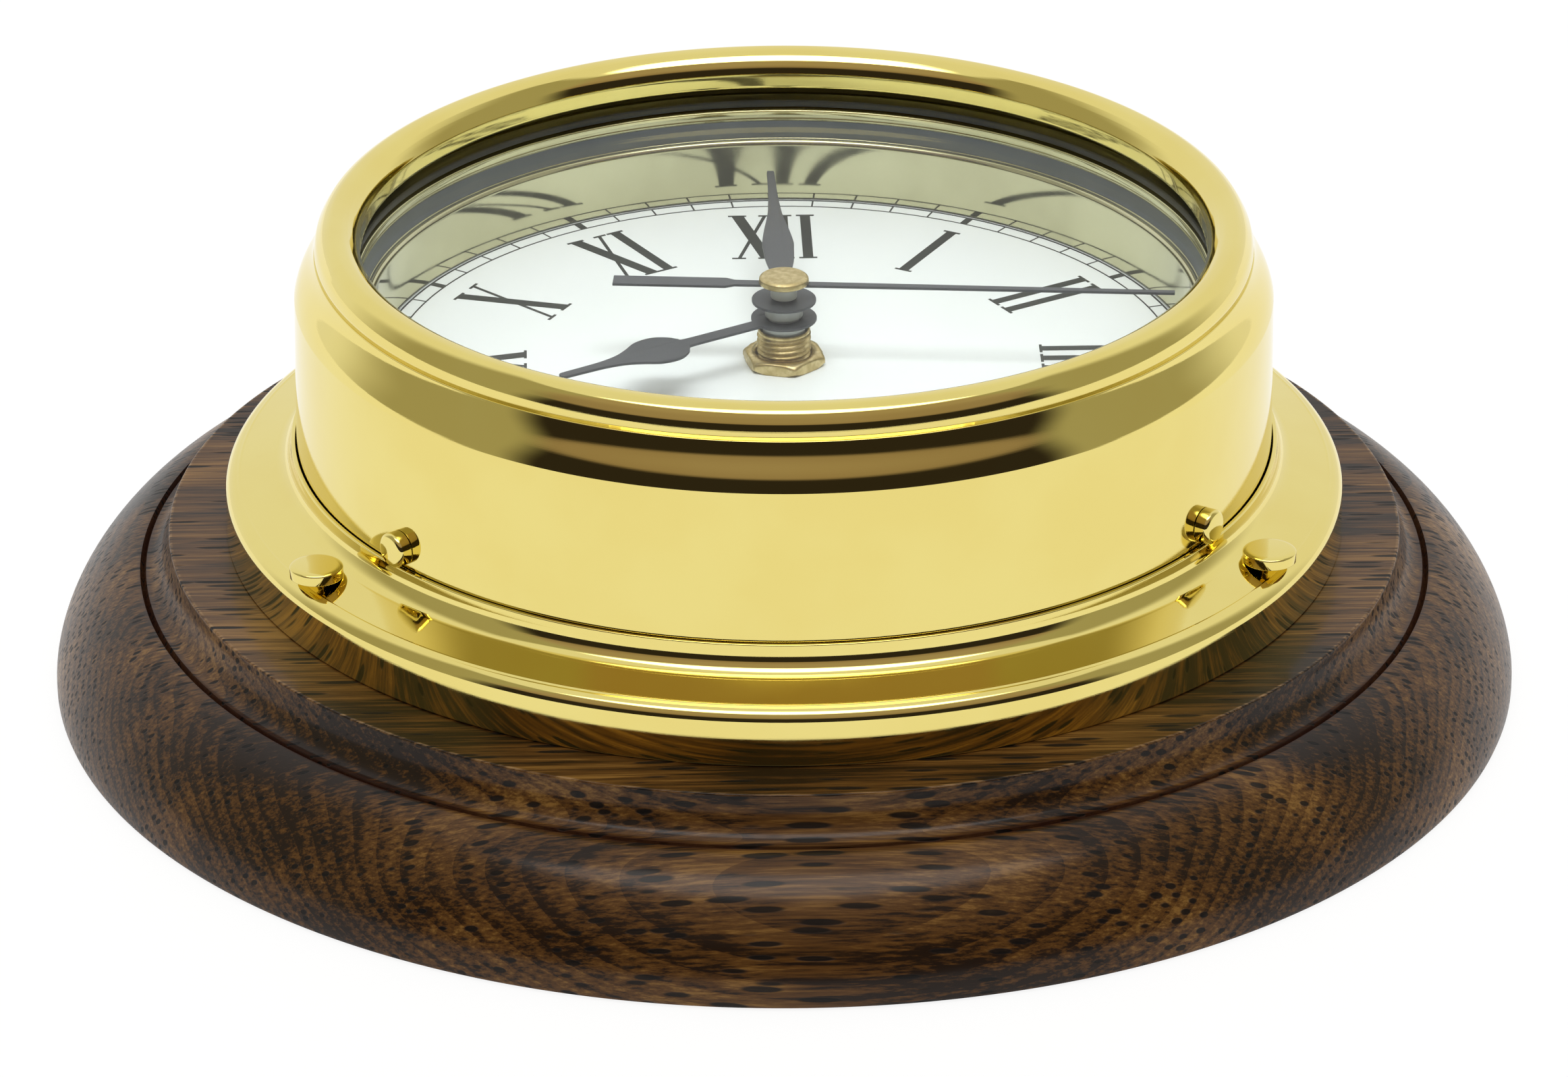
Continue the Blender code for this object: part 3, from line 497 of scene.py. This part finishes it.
def ring_points(radius, z, around):
    """A ring of points whose radius may change with the angle."""
    ring = []
    for i in range(around):
        turn = FULL_TURN * i / around
        r = radius(turn) if callable(radius) else radius
        ring.append((r * math.cos(turn) * MM, r * math.sin(turn) * MM, z * MM))
    return ring


def lathe_mesh(name, profile, steps=STEPS, centre=(0.0, 0.0)):
    """Turns a profile that runs down the outer side and back up the bore or the axis."""
    rings = []
    for r, z in profile:
        if r < 1e-6:
            rings.append([(centre[0] * MM, centre[1] * MM, z * MM)])
            continue
        rings.append([(x + centre[0] * MM, y + centre[1] * MM, z) for x, y, z in ring_points(r, z, steps)])
    return grid_mesh(name, rings, steps, closed=profile[0][0] >= 1e-6)


def lathe(name, profile, slot, body=CASE, stands_for=(), steps=STEPS, centre=(0.0, 0.0), look=None):
    return place_piece(name, lathe_mesh(name, profile, steps, centre), slot, body, stands_for, look)


def flat_curve(name, outlines, low, high, bevel=0.0):
    """A flat outline with holes, thickened from low to high, its edges eased by bevel."""
    curve = bpy.data.curves.new(name, "CURVE")
    curve.dimensions = "2D"
    curve.fill_mode = "BOTH"
    curve.extrude = ((high - low) / 2 - bevel) * MM
    curve.bevel_depth = bevel * MM
    curve.bevel_resolution = 1
    curve.offset = -bevel * MM
    for outline in outlines:
        line = curve.splines.new("POLY")
        line.points.add(len(outline) - 1)
        for point, (x, y) in zip(line.points, outline):
            point.co = (x * MM, y * MM, 0.0, 1.0)
        line.use_cyclic_u = True
    return curve


def flat_mesh(name, outlines, low, high, bevel=0.0, degrees=0.0, centre=(0.0, 0.0)):
    """The same outline as a mesh in its place, turned about its centre."""
    curve = flat_curve(name, outlines, low, high, bevel)
    drawn = bpy.data.objects.new(name + "_outline", curve)
    bpy.context.scene.collection.objects.link(drawn)
    bpy.context.view_layer.update()
    mesh = bpy.data.meshes.new_from_object(drawn.evaluated_get(bpy.context.evaluated_depsgraph_get()))
    bpy.data.objects.remove(drawn, do_unlink=True)
    solid = bmesh.new()
    solid.from_mesh(mesh)
    bmesh.ops.remove_doubles(solid, verts=solid.verts, dist=1e-7)
    turn = math.radians(degrees)
    for vert in solid.verts:
        x, y = vert.co.x, vert.co.y
        vert.co.x = x * math.cos(turn) - y * math.sin(turn) + centre[0] * MM
        vert.co.y = x * math.sin(turn) + y * math.cos(turn) + centre[1] * MM
        vert.co.z += (low + high) / 2 * MM
    bmesh.ops.recalc_face_normals(solid, faces=solid.faces)
    solid.to_mesh(mesh)
    solid.free()
    mesh.polygons.foreach_set("use_smooth", [bevel > 0] * len(mesh.polygons))
    return mesh


def polar(radius, degrees, centre=(0.0, 0.0)):
    angle = math.radians(degrees)
    return centre[0] + radius * math.cos(angle), centre[1] + radius * math.sin(angle)


def circle(radius, count=96, centre=(0.0, 0.0)):
    return [polar(radius, 360 * i / count, centre) for i in range(count)]


def box_mesh(low, high):
    solid = bmesh.new()
    bmesh.ops.create_cube(solid, size=1.0)
    for vert in solid.verts:
        vert.co = [(a + (b - a) * (c + 0.5)) * MM for a, b, c in zip(low, high, vert.co)]
    mesh = bpy.data.meshes.new("block")
    solid.to_mesh(mesh)
    solid.free()
    return mesh


def cut_away(piece, cutters):
    """Cuts closed meshes out of a piece and keeps the result as its mesh."""
    for mesh in cutters:
        cutter = bpy.data.objects.new("cutter", mesh)
        bpy.context.scene.collection.objects.link(cutter)
        knife = piece.modifiers.new("knife", "BOOLEAN")
        knife.operation = "DIFFERENCE"
        knife.solver = "EXACT"
        knife.object = cutter
        with bpy.context.temp_override(object=piece):
            bpy.ops.object.modifier_move_to_index(modifier="knife", index=0)
            bpy.ops.object.modifier_apply(modifier="knife")
        bpy.data.objects.remove(cutter, do_unlink=True)


# Oak mount

OAK_HIGH = box_mm("wall_mount")[1]
OAK_RADIUS, OAK_TOP = OAK_HIGH.x, OAK_HIGH.z
GROOVE_DEPTH = 6.2
MOULDING_FOOT = 2.0
MOULDING_POWER = 1.25
REAR_HOLE_RADIUS = 42.0


def build_oak_mount():
    groove_z = OAK_TOP - GROOVE_DEPTH
    land = [(REAR_HOLE_RADIUS, OAK_TOP, 0.3), (LAND_RADIUS, OAK_TOP, 0.35)]
    cove = arc(GROOVE_RADIUS - 0.4, OAK_TOP - 0.9, 3.4, 5.3, 184, 264, 14)
    valley = [(GROOVE_RADIUS - 0.25, groove_z + 0.03), (GROOVE_RADIUS + 0.2, groove_z - 1.0)]
    start = GROOVE_RADIUS + 0.65
    moulding = []
    for i in range(25):
        angle = math.radians(90 * i / 24)
        out = (OAK_RADIUS - start) * math.sin(angle) ** MOULDING_POWER
        up = (groove_z - MOULDING_FOOT) * max(math.cos(angle), 0.0) ** MOULDING_POWER
        moulding.append((start + out, MOULDING_FOOT + up))
    foot = [(OAK_RADIUS, 0.8), (OAK_RADIUS - 0.2, 0.25), (OAK_RADIUS - 0.8, 0.0),
            (REAR_HOLE_RADIUS, 0.0, 0.3)]
    profile = rounded([land[1]] + cove + valley + moulding + foot + [land[0]])
    mount = lathe("oak_mount", profile, "dark_oak", stands_for=["wall_mount"], steps=288)
    plate_low, plate_high = box_mm("hanger_plate")
    recess = box_mesh(plate_low - Vector((0.3, 0.3, 2.0)), plate_high + Vector((0.3, 0.3, 0.3)))
    pocket = box_mesh((-6.5, plate_low.y + 1.5, -1.0), (6.5, plate_high.y - 1.0, 9.5))
    cut_away(mount, [recess, pocket])
    mount.data.set_sharp_from_angle(angle=math.radians(35))


# Brass case

FLANGE_HIGH = box_mm("base_flange")[1]
FLANGE_RADIUS = FLANGE_HIGH.x
COLLAR_BORE, COLLAR_RADIUS, COLLAR_LOW, RECESS_RADIUS = 67.6, 70.1, 28.0, 72.6
DRUM_BORE, DIAL_BORE = 70.4, 67.3
SHELF_BORE, SHELF_LOW, SHELF_TOP = 57.5, 46.8, 48.8
SKIRT_RADIUS, SKIRT_BORE = 67.0, 65.9
FLANGE_TOP = 33.1
DRUM_LOW, DRUM_HIGH = box_mm("case_drum")
DRUM_RADIUS, DRUM_TOP = DRUM_HIGH.x, DRUM_HIGH.z
SHOULDER_RADIUS, SHOULDER_Z = DRUM_RADIUS - 0.4, 61.3
BEZEL_LOW, BEZEL_HIGH = box_mm("bezel")
NECK_RADIUS = BEZEL_HIGH.x
CREST_Z = BEZEL_HIGH.z


def build_base_flange():
    """Shallow cone between a rolled edge and a cove, with a thin lip up the drum."""
    top = FLANGE_HIGH.z
    flat, edge_z = FLANGE_RADIUS - 2.3, FLANGE_TOP - 2.2
    bead = [(flat - 0.1, FLANGE_TOP + 0.03), (flat + 0.1, FLANGE_TOP + 0.12),
            (flat + 0.32, FLANGE_TOP + 0.06)]
    edge = arc(flat, edge_z, 2.3, 2.2, 78, 0, 15)
    side = [(FLANGE_RADIUS, OAK_TOP + 0.02, 0.3)]
    inner = [(COLLAR_BORE, OAK_TOP + 0.02, 0.3), (COLLAR_BORE, top, 0.4), (COLLAR_RADIUS, top, 0.4),
             (COLLAR_RADIUS, COLLAR_LOW, 0.2), (RECESS_RADIUS, COLLAR_LOW, 0.2)]
    lip = [(DRUM_RADIUS + 0.06, 38.6, 0.1), (73.1, 38.6, 0.25)]
    cove = arc(76.2, 37.5, 3.1, 3.1, 181, 262, 18)
    profile = rounded(bead + edge + side + inner + lip + cove)
    lathe("base_flange_ring", profile, "polished_brass", stands_for=["base_flange"])


def drum_wall():
    """Ogee from the neck to the shoulder; build_case_drum adds the long wall below it."""
    neck = NECK_RADIUS + 0.05
    ogee = []
    for i in range(33):
        t = i / 32
        blend = 0.6 * t + 0.4 * t * t * t * (10 - 15 * t + 6 * t * t)
        ogee.append((neck + (SHOULDER_RADIUS - neck) * blend, DRUM_TOP - (DRUM_TOP - SHOULDER_Z) * t))
    return ogee


def build_case_drum():
    wall = drum_wall() + [(DRUM_RADIUS, DRUM_LOW.z, 0.2), (DRUM_BORE, DRUM_LOW.z, 0.2)]
    inside = [(DRUM_BORE, SHELF_LOW, 0.3), (SHELF_BORE, SHELF_LOW, 0.2), (SHELF_BORE, SHELF_TOP, 0.2),
              (DIAL_BORE, SHELF_TOP, 0.1), (DIAL_BORE, DRUM_TOP, 0.2)]
    lathe("case_drum_wall", rounded(wall + inside), "polished_brass", stands_for=["case_drum"])


def build_bezel():
    """Broad rolled crown over an upright neck, with an inner lip that turns in over the glass."""
    neck, crest, low = NECK_RADIUS, CREST_Z, DRUM_TOP + 0.02
    crown = [(neck - 5.1, crest - 0.65), (neck - 4.2, crest - 0.15), (neck - 3.2, crest),
             (neck - 2.3, crest - 0.1), (neck - 1.3, crest - 0.75), (neck - 0.65, crest - 1.7),
             (neck - 0.25, crest - 2.5), (neck, crest - 3.6)]
    skirt = [(neck, low), (SKIRT_RADIUS, low), (SKIRT_RADIUS, BEZEL_LOW.z, 0.3),
             (SKIRT_BORE, BEZEL_LOW.z, 0.2), (SKIRT_BORE, 66.95, 0.1)]
    lip = [(62.75, 66.95), (62.2, 67.3), (62.2, 69.3), (62.35, 69.9), (62.75, 70.8), (63.25, 71.45)]
    profile = eased(crown, 4) + rounded(skirt) + [Vector(lip[0])] + eased(lip[1:], 4)
    lathe("bezel_ring", [tuple(p) for p in profile], "polished_brass", stands_for=["bezel"])


def build_glass_and_gasket():
    low, high = box_mm("glass")
    edge = high.x
    pane = [(0.0, high.z), (edge, high.z, 0.3), (edge, low.z, 0.2), (0.0, low.z)]
    lathe("glass_pane", rounded(pane), "clear_glass", stands_for=["glass"])
    low, high = box_mm("glass_gasket")
    inner = high.x - 2.6
    band = [(high.x, high.z, 0.2), (high.x, low.z, 0.2), (inner, low.z, 0.35), (inner, high.z, 0.35)]
    lathe("gasket_band", rounded(band), "black_rubber", stands_for=["glass_gasket"])


def build_dial_ring():
    """Mirror wall round the dial, a rolled rim, and a thin grey sheet on the slope up to the collar under the
    glass: a painted reflection in the brass.
    """
    low, high = box_mm("dial_ring")
    wall, ledge = 60.7, 59.3
    back = wall + 1.2
    under = [(high.x, ledge, 0.2), (high.x, ledge - 1.0, 0.2), (back, ledge - 1.4, 0.5), (back, low.z, 0.1)]
    rim = [(wall, low.z, 0.1)] + arc(wall + 0.8, 58.1, 0.8, 0.9, 180, 60, 12)
    inside = [(62.0, 58.95, 0.1), (62.75, 61.5, 0.1)]
    beads = arc(62.95, 61.8, 0.3, 0.28, 235, 125, 6) + arc(62.95, 62.95, 0.3, 0.3, 225, 90, 7)
    outside = [(63.7, high.z, 0.15), (63.7, ledge, 0.1)]
    profile = rounded(under + rim + inside + beads + outside)
    lathe("dial_ring_wall", profile, "polished_brass", stands_for=["dial_ring"], look=PALE_BRASS)
    # A thin grey sheet laid just over the ring's brass slope: a painted reflection.
    slope = [(62.72, 61.48), (62.9, 61.4), (62.15, 59.0), (61.97, 59.08)]
    lathe("dial_ring_slope_painted_reflection", slope, "polished_brass", look=PAINTED_GREY_REFLECTION)


def headed_profile(head, seat, round_z, top, shank, tip):
    """A head with a nearly flat top and a broad rounding down to its side, on a plain shank."""
    face = [(0.0, top), (head * 0.35, top - 0.03)]
    shoulder = arc(head * 0.72, round_z, head * 0.28, top - 0.09 - round_z, 86, 2, 10)
    return rounded(face + shoulder + [(head, seat, 0.05), (shank, seat, 0.05), (shank, tip), (0.0, tip)])


def build_case_screws():
    for number in (1, 2, 3):
        low, high = box_mm(f"flange_screw_{number}")
        centre = ((low.x + high.x) / 2, (low.y + high.y) / 2)
        profile = headed_profile((high.x - low.x) / 2, high.z - 1.9, high.z - 0.6, high.z - 0.05, 1.6, low.z)
        lathe(f"flange_screw_{number}_head", profile, "polished_brass", stands_for=[f"flange_screw_{number}"],
              steps=72, centre=centre)
        build_foot_screw(number)


def build_foot_screw(number):
    """The same head, laid so that it points out from the drum's wall."""
    name = f"foot_screw_{number}"
    low, high = box_mm(name)
    middle = (low + high) / 2
    angle = math.atan2(middle.y, middle.x)
    seat = DRUM_RADIUS - 0.12
    mesh = lathe_mesh(name + "_head", headed_profile(2.6, seat, seat + 1.4, seat + 2.2, 1.2, 67.0), 64)
    for vert in mesh.vertices:
        out, across, up = vert.co.z, vert.co.y, -vert.co.x
        x = out * math.cos(angle) - across * math.sin(angle)
        y = out * math.sin(angle) + across * math.cos(angle)
        vert.co = (x, y, up + middle.z * MM)
    mesh.update()
    place_piece(name + "_head", mesh, "polished_brass", stands_for=[name])


# Dial and its printing

DIAL_LOW, DIAL_HIGH = box_mm("dial")
DIAL_TOP = DIAL_HIGH.z
PRINT_LIFT = 0.015
PRINT_THICKNESS = 0.03
NUMERAL_FOOT, NUMERAL_TOP = 38.0, 54.6
TRACK_INNER, TRACK_OUTER = 58.1, 60.4
NUMERALS = ("XII", "I", "II", "III", "IV", "V", "VI", "VII", "VIII", "IX", "X", "XI")
LETTER_WIDTHS = {"I": 3.45, "V": 6.3, "X": 6.3}
STEM, HAIR, SERIF = 1.55, 0.55, 0.42


def stroke(x0, y0, x1, y1, width):
    """A straight stroke whose ends are cut level, as in cut letters."""
    half = width / 2
    return [(x0 - half, y0), (x1 - half, y1), (x1 + half, y1), (x0 + half, y0)]


def serif(x, y, width):
    inward = SERIF if y < (NUMERAL_FOOT + NUMERAL_TOP) / 2 else -SERIF
    return [(x - width / 2, y), (x + width / 2, y), (x + width / 2, y + inward), (x - width / 2, y + inward)]


def letter(kind, x):
    """Outlines of one capital centred on x, standing between the numerals' foot and top."""
    foot, top = NUMERAL_FOOT, NUMERAL_TOP
    if kind == "I":
        return [stroke(x, foot, x, top, STEM), serif(x, foot, 2.75), serif(x, top, 2.75)]
    if kind == "V":
        tip = [stroke(x - 2.2, top, x + 0.15, foot, STEM * 1.15), stroke(x + 2.3, top, x + 0.4, foot, HAIR)]
        return tip + [serif(x - 2.2, top, 2.85), serif(x + 2.3, top, 2.0)]
    arms = [stroke(x - 2.1, top, x + 2.1, foot, STEM * 1.2), stroke(x + 2.2, top, x - 2.2, foot, HAIR)]
    feet = [serif(x + 2.1, foot, 2.8), serif(x - 2.2, foot, 2.1)]
    return arms + feet + [serif(x - 2.1, top, 2.8), serif(x + 2.2, top, 2.1)]


def numeral_outlines(text):
    width = sum(LETTER_WIDTHS[c] for c in text)
    outlines, x = [], -width / 2
    for c in text:
        outlines += letter(c, x + LETTER_WIDTHS[c] / 2)
        x += LETTER_WIDTHS[c]
    return outlines


def thin_prism(solid, outline, low, high, degrees):
    """Adds a thin convex prism, turned about the dial's centre, to a mesh being built."""
    turn = math.radians(degrees)
    area = sum(a[0] * b[1] - b[0] * a[1] for a, b in zip(outline, outline[1:] + outline[:1]))
    outline = outline if area > 0 else outline[::-1]
    across, along = math.cos(turn), math.sin(turn)
    turned = [(x * across - y * along, x * along + y * across) for x, y in outline]
    lower = [solid.verts.new((x * MM, y * MM, low * MM)) for x, y in turned]
    upper = [solid.verts.new((x * MM, y * MM, high * MM)) for x, y in turned]
    solid.faces.new(upper)
    solid.faces.new(lower[::-1])
    for i in range(len(outline)):
        j = (i + 1) % len(outline)
        solid.faces.new([lower[i], lower[j], upper[j], upper[i]])


def build_dial():
    edge, hole = DIAL_HIGH.x, 4.3
    disc = [(edge, DIAL_TOP, 0.1), (edge, DIAL_LOW.z, 0.1), (hole, DIAL_LOW.z, 0.1), (hole, DIAL_TOP, 0.1)]
    lathe("dial_disc", rounded(disc), "white_enamel", stands_for=["dial"])
    low = DIAL_TOP + PRINT_LIFT
    print_solid = bmesh.new()
    for hour, text in enumerate(NUMERALS):
        for layer, outline in enumerate(numeral_outlines(text)):
            lift = 0.002 * layer
            thin_prism(print_solid, outline, low, low + PRINT_THICKNESS + lift, -30 * hour)
    for minute in range(60):
        width = 1.15 if minute % 5 == 0 else 0.26
        outline = stroke(0.0, TRACK_INNER, 0.0, TRACK_OUTER, width)
        thin_prism(print_solid, outline, low, low + PRINT_THICKNESS, -6 * minute)
    mesh = bpy.data.meshes.new("dial_numerals")
    print_solid.to_mesh(mesh)
    print_solid.free()
    place_piece("dial_numerals", mesh, "black_hand", look=DIAL_PRINT)
    for name, middle, width in (("inner", TRACK_INNER, 0.24), ("outer", TRACK_OUTER, 0.3)):
        out, inward, high = middle + width / 2, middle - width / 2, low + 0.034
        line = [(out, high), (out, low), (inward, low), (inward, high)]
        lathe(f"minute_track_{name}", line, "black_hand", look=DIAL_PRINT)


# Bush, nut and hands


def build_bush():
    """The bush's thread, a real helix above the nut, under a plain top ring."""
    low, high = box_mm("threaded_bush")
    pitch, outer, root, around = 0.85, 4.0, 3.6, 96
    thread_low, thread_high = low.z + 0.8, high.z - 0.7
    rings = [ring_points(r, z, around) for r, z in ((3.5, high.z), (3.72, high.z), (3.85, high.z - 0.12),
                                                    (3.85, high.z - 0.5), (3.7, high.z - 0.62))]
    levels = int((thread_high - thread_low) / 0.05)
    for level in range(levels, -1, -1):
        z = thread_low + level * 0.05

        def crest(turn, z=z):
            phase = (z / pitch - turn / FULL_TURN) % 1.0
            return root + (outer - root) * (0.5 - 0.5 * math.cos(FULL_TURN * phase)) ** 0.7

        rings.append(ring_points(crest, z, around))
    rings += [ring_points(r, z, around) for r, z in ((6.0, low.z + 0.5), (6.0, low.z), (3.5, low.z))]
    mesh = grid_mesh("bush_thread", rings, around, closed=True)
    place_piece("bush_thread", mesh, "satin_brass", stands_for=["threaded_bush"])


NUT_TURN = math.radians(-16.7)


def build_nut():
    """A hexagon with its corners worn back by a chamfer at the top and bottom."""
    high = box_mm("hex_nut")[1].z - 0.1
    low, flat, around = DIAL_TOP + 0.03, 5.5, 180
    levels = [(high, -0.45), (high - 0.06, -0.15), (high - 0.22, 0.2), (high - 0.5, 0.62),
              (high - 0.75, 0.85), (low + 0.5, 0.85), (low + 0.25, 0.5), (low, 0.2)]
    rings = []
    for z, allowance in levels:

        def side(turn, allowance=allowance):
            away = ((turn - NUT_TURN) % (math.pi / 3)) - math.pi / 6
            hexagon = flat / math.cos(away)
            return min(hexagon, flat + allowance) - 0.05 * max(0.0, hexagon - flat)

        rings.append(ring_points(side, z, around))
    rings += [ring_points(r, z, around) for r, z in ((4.1, low), (4.1, high - 0.35), (4.45, high))]
    mesh = grid_mesh("hex_nut_body", rings, around, closed=True)
    place_piece("hex_nut_body", mesh, "satin_brass", stands_for=["hex_nut"])


def hand_outline(half, hub_radius):
    start = math.degrees(math.asin(half[0][1] / hub_radius))
    boss = [polar(hub_radius, 180 - (180 - start) * i / 40) for i in range(41)]
    upper = boss[1:] + [(p.x, max(p.y, 0.02)) for p in eased(half)[1:]]
    return [boss[0]] + upper + [(x, -y) for x, y in reversed(upper)]


HOUR_ANGLE, MINUTE_ANGLE, SECOND_ANGLE = -149.0, 90.7, -5.0
HOUR_HALF = [(4.7, 1.15), (10.0, 1.15), (16.6, 1.2), (17.4, 1.7), (18.3, 2.9), (20.0, 4.0), (21.8, 4.25),
             (23.8, 3.85), (25.9, 2.6), (28.3, 1.5), (31.3, 0.95), (35.0, 0.8), (38.0, 0.72), (38.6, 0.3)]
MINUTE_HALF = [(4.6, 1.1), (8.5, 1.25), (12.0, 1.8), (15.0, 2.15), (18.4, 2.3), (21.0, 2.35), (25.5, 1.9),
               (28.5, 1.5), (31.8, 1.1), (35.0, 0.9), (38.4, 0.75), (44.0, 0.62), (47.8, 0.55), (48.2, 0.2)]


def build_hands():
    low, high = box_mm("hour_hand")
    outlines = [hand_outline(HOUR_HALF, 4.85), circle(2.6, 48)]
    mesh = flat_mesh("hour_hand_plate", outlines, low.z, high.z, 0.05, HOUR_ANGLE)
    place_piece("hour_hand_plate", mesh, "black_hand", "hours", ["hour_hand"])
    low, high = box_mm("minute_hand")
    outlines = [hand_outline(MINUTE_HALF, 4.75), circle(1.0, 32)]
    mesh = flat_mesh("minute_hand_plate", outlines, low.z, high.z, 0.05, MINUTE_ANGLE)
    place_piece("minute_hand_plate", mesh, "black_hand", "minutes", ["minute_hand"])
    low, high = box_mm("second_hand")
    upper = [(57.5, 0.5), (1.7, 0.72), (-7.3, 0.85), (-8.6, 1.5), (-25.2, 1.5)]
    outline = upper + [(x, -y) for x, y in reversed(upper)]
    mesh = flat_mesh("second_hand_plate", [outline], low.z, high.z, 0.05, SECOND_ANGLE)
    place_piece("second_hand_plate", mesh, "black_hand", "seconds", ["second_hand"])


def build_hand_stack():
    """Pale sleeves between the hands, and the cap over the second hand."""
    bottom = box_mm("hour_hand")[0].z
    collar = [(3.3, bottom - 0.02, 0.15), (3.3, 54.75, 0.15), (3.05, 54.75), (3.05, bottom - 0.02)]
    lathe("hour_tube_collar", rounded(collar), "pale_nylon", "hours", steps=64)
    sleeves = (("minute_hand_sleeve", "minutes", "hour_hand", "minute_hand"),
               ("second_hand_sleeve", "seconds", "minute_hand", "second_hand"))
    for node, body, under, over in sleeves:
        high = box_mm(node)[1]
        floor, ceiling = box_mm(under)[1].z + 0.25, box_mm(over)[0].z - 0.01
        bore = high.x - 0.8
        sleeve = [(high.x, ceiling, 0.12), (high.x, floor, 0.2), (bore, floor, 0.1), (bore, ceiling, 0.1)]
        lathe(node + "_tube", rounded(sleeve), "pale_nylon", body, [node], steps=64)
    high = box_mm("second_hand_cap")[1]
    under = box_mm("second_hand")[1].z + 0.01
    cap = [(0.0, high.z), (high.x - 0.5, high.z - 0.02, 0.12), (high.x - 0.08, high.z - 0.32, 0.12),
           (high.x, under + 0.15, 0.1), (high.x - 0.2, under, 0.05), (0.0, under)]
    lathe("second_hand_cap_disc", rounded(cap), "satin_brass", "seconds", ["second_hand_cap"], steps=96)


def finish_plain_nodes():
    """Gives every CAD node that still shows its own material."""
    slots = {s["node"]: s["material_slot"] for s in frame["record"]["subparts"]}
    for name, node in frame["nodes"].items():
        if node.hide_render:
            continue
        look = SLOT_LOOKS[slots[name]]
        if not node.material_slots:
            node.data.materials.append(look)
        for slot in node.material_slots:
            slot.material = look


# Studio

CAMERA_DISTANCE = 1.2077
CAMERA_ELEVATION = 25.4
CAMERA_SIDE = 1.73
CAMERA_ROLL = -0.07
LENS = 185.9
SHIFT = (-0.0001, -0.0166)


def build_camera():
    data = bpy.data.cameras.new("camera")
    data.lens = LENS
    data.sensor_width = 36.0
    data.clip_end = 50.0
    data.shift_x, data.shift_y = SHIFT
    camera = bpy.data.objects.new("camera", data)
    bpy.context.scene.collection.objects.link(camera)
    up, side = math.radians(CAMERA_ELEVATION), math.radians(CAMERA_SIDE)
    away = Vector((-math.cos(up) * math.sin(side), -math.cos(up) * math.cos(side), math.sin(up)))
    camera.location = Vector((0.0, 0.0, OAK_TOP * MM)) + away * CAMERA_DISTANCE
    turn = away.to_track_quat("Z", "Y").to_euler()
    camera.rotation_euler = turn
    camera.rotation_euler.rotate_axis("Z", math.radians(CAMERA_ROLL))
    bpy.context.scene.camera = camera


def build_floor():
    """A pale paper floor that glows a little, so it stays pale under the mount."""
    mesh = bpy.data.meshes.new("paper_floor")
    corners = [(-4.0, -4.0, 0.0), (4.0, -4.0, 0.0), (4.0, 4.0, 0.0), (-4.0, 4.0, 0.0)]
    mesh.from_pydata(corners, [], [(0, 1, 2, 3)])
    floor = bpy.data.objects.new("paper_floor", mesh)
    floor.location.z = -0.0002
    bpy.context.scene.collection.objects.link(floor)

    def paper(graph):
        grain = graph.noise(position_mm(graph), 0.6, 3.0)
        return {"Base Color": graph.mix(grain, (0.12, 0.12, 0.118), (0.13, 0.13, 0.128))}

    mesh.materials.append(new_material("paper_floor_looks", paper, Roughness=0.9, Specular_IOR_Level=0.1,
                                       Emission_Color=(1.0, 1.0, 1.0), Emission_Strength=0.90))


def build_world():
    """A pale backdrop and ceiling, a dark room with a brown wall on the camera's side, and a lamp over it."""
    world = bpy.data.worlds.new("studio")
    bpy.context.scene.world = world
    world.use_nodes = True
    graph = Graph(world.node_tree)
    x, y, z = graph.split(graph.node("TexCoord").outputs["Generated"])
    to_degrees = 180 / math.pi
    forward = graph.math("MULTIPLY", y, -1.0)
    beside = graph.math("ABSOLUTE", x)
    height = graph.math("MULTIPLY", graph.math("ARCSINE", z), to_degrees)
    swing = graph.math("MULTIPLY", graph.math("ARCTAN2", beside, forward), to_degrees)
    over = graph.math("MULTIPLY", graph.math("ARCTAN2", z, forward), to_degrees)
    rise = graph.math("MULTIPLY", graph.math("ARCTAN2", z, beside), to_degrees)
    colour = graph.mix(graph.fade(swing, 100.0, 130.0), (0.42, 0.40, 0.30), (0.92, 0.92, 0.90))
    room = graph.mix(graph.fade(height, 25.0, 30.0), (0.030, 0.024, 0.022), (0.34, 0.26, 0.21))
    room = graph.mix(graph.fade(height, 28.0, 44.0), room, (0.42, 0.34, 0.28))
    colour = graph.mix(graph.fade(swing, 58.0, 70.0, 1.0, 0.0), colour, room)
    colour = graph.mix(graph.fade(height, 57.0, 60.0), colour, (0.90, 0.90, 0.88))
    core = graph.math("MULTIPLY", graph.fade(height, 60.5, 63.0), graph.fade(over, 80.0, 84.0, 1.0, 0.0))
    core = graph.math("MULTIPLY", core, graph.fade(rise, 56.0, 60.0))
    colour = graph.mix(core, colour, (4.6, 4.6, 4.55))
    background = graph.node("Background", {"Color": colour, "Strength": 1.0})
    graph.feed(graph.node("OutputWorld").inputs["Surface"], background.outputs[0])


build_oak_mount()
build_base_flange()
build_case_drum()
build_bezel()
build_glass_and_gasket()
build_dial_ring()
build_case_screws()
build_dial()
build_bush()
build_nut()
build_hands()
build_hand_stack()
finish_plain_nodes()
build_camera()
build_floor()
build_world()
bpy.context.scene.view_settings.view_transform = "Standard"
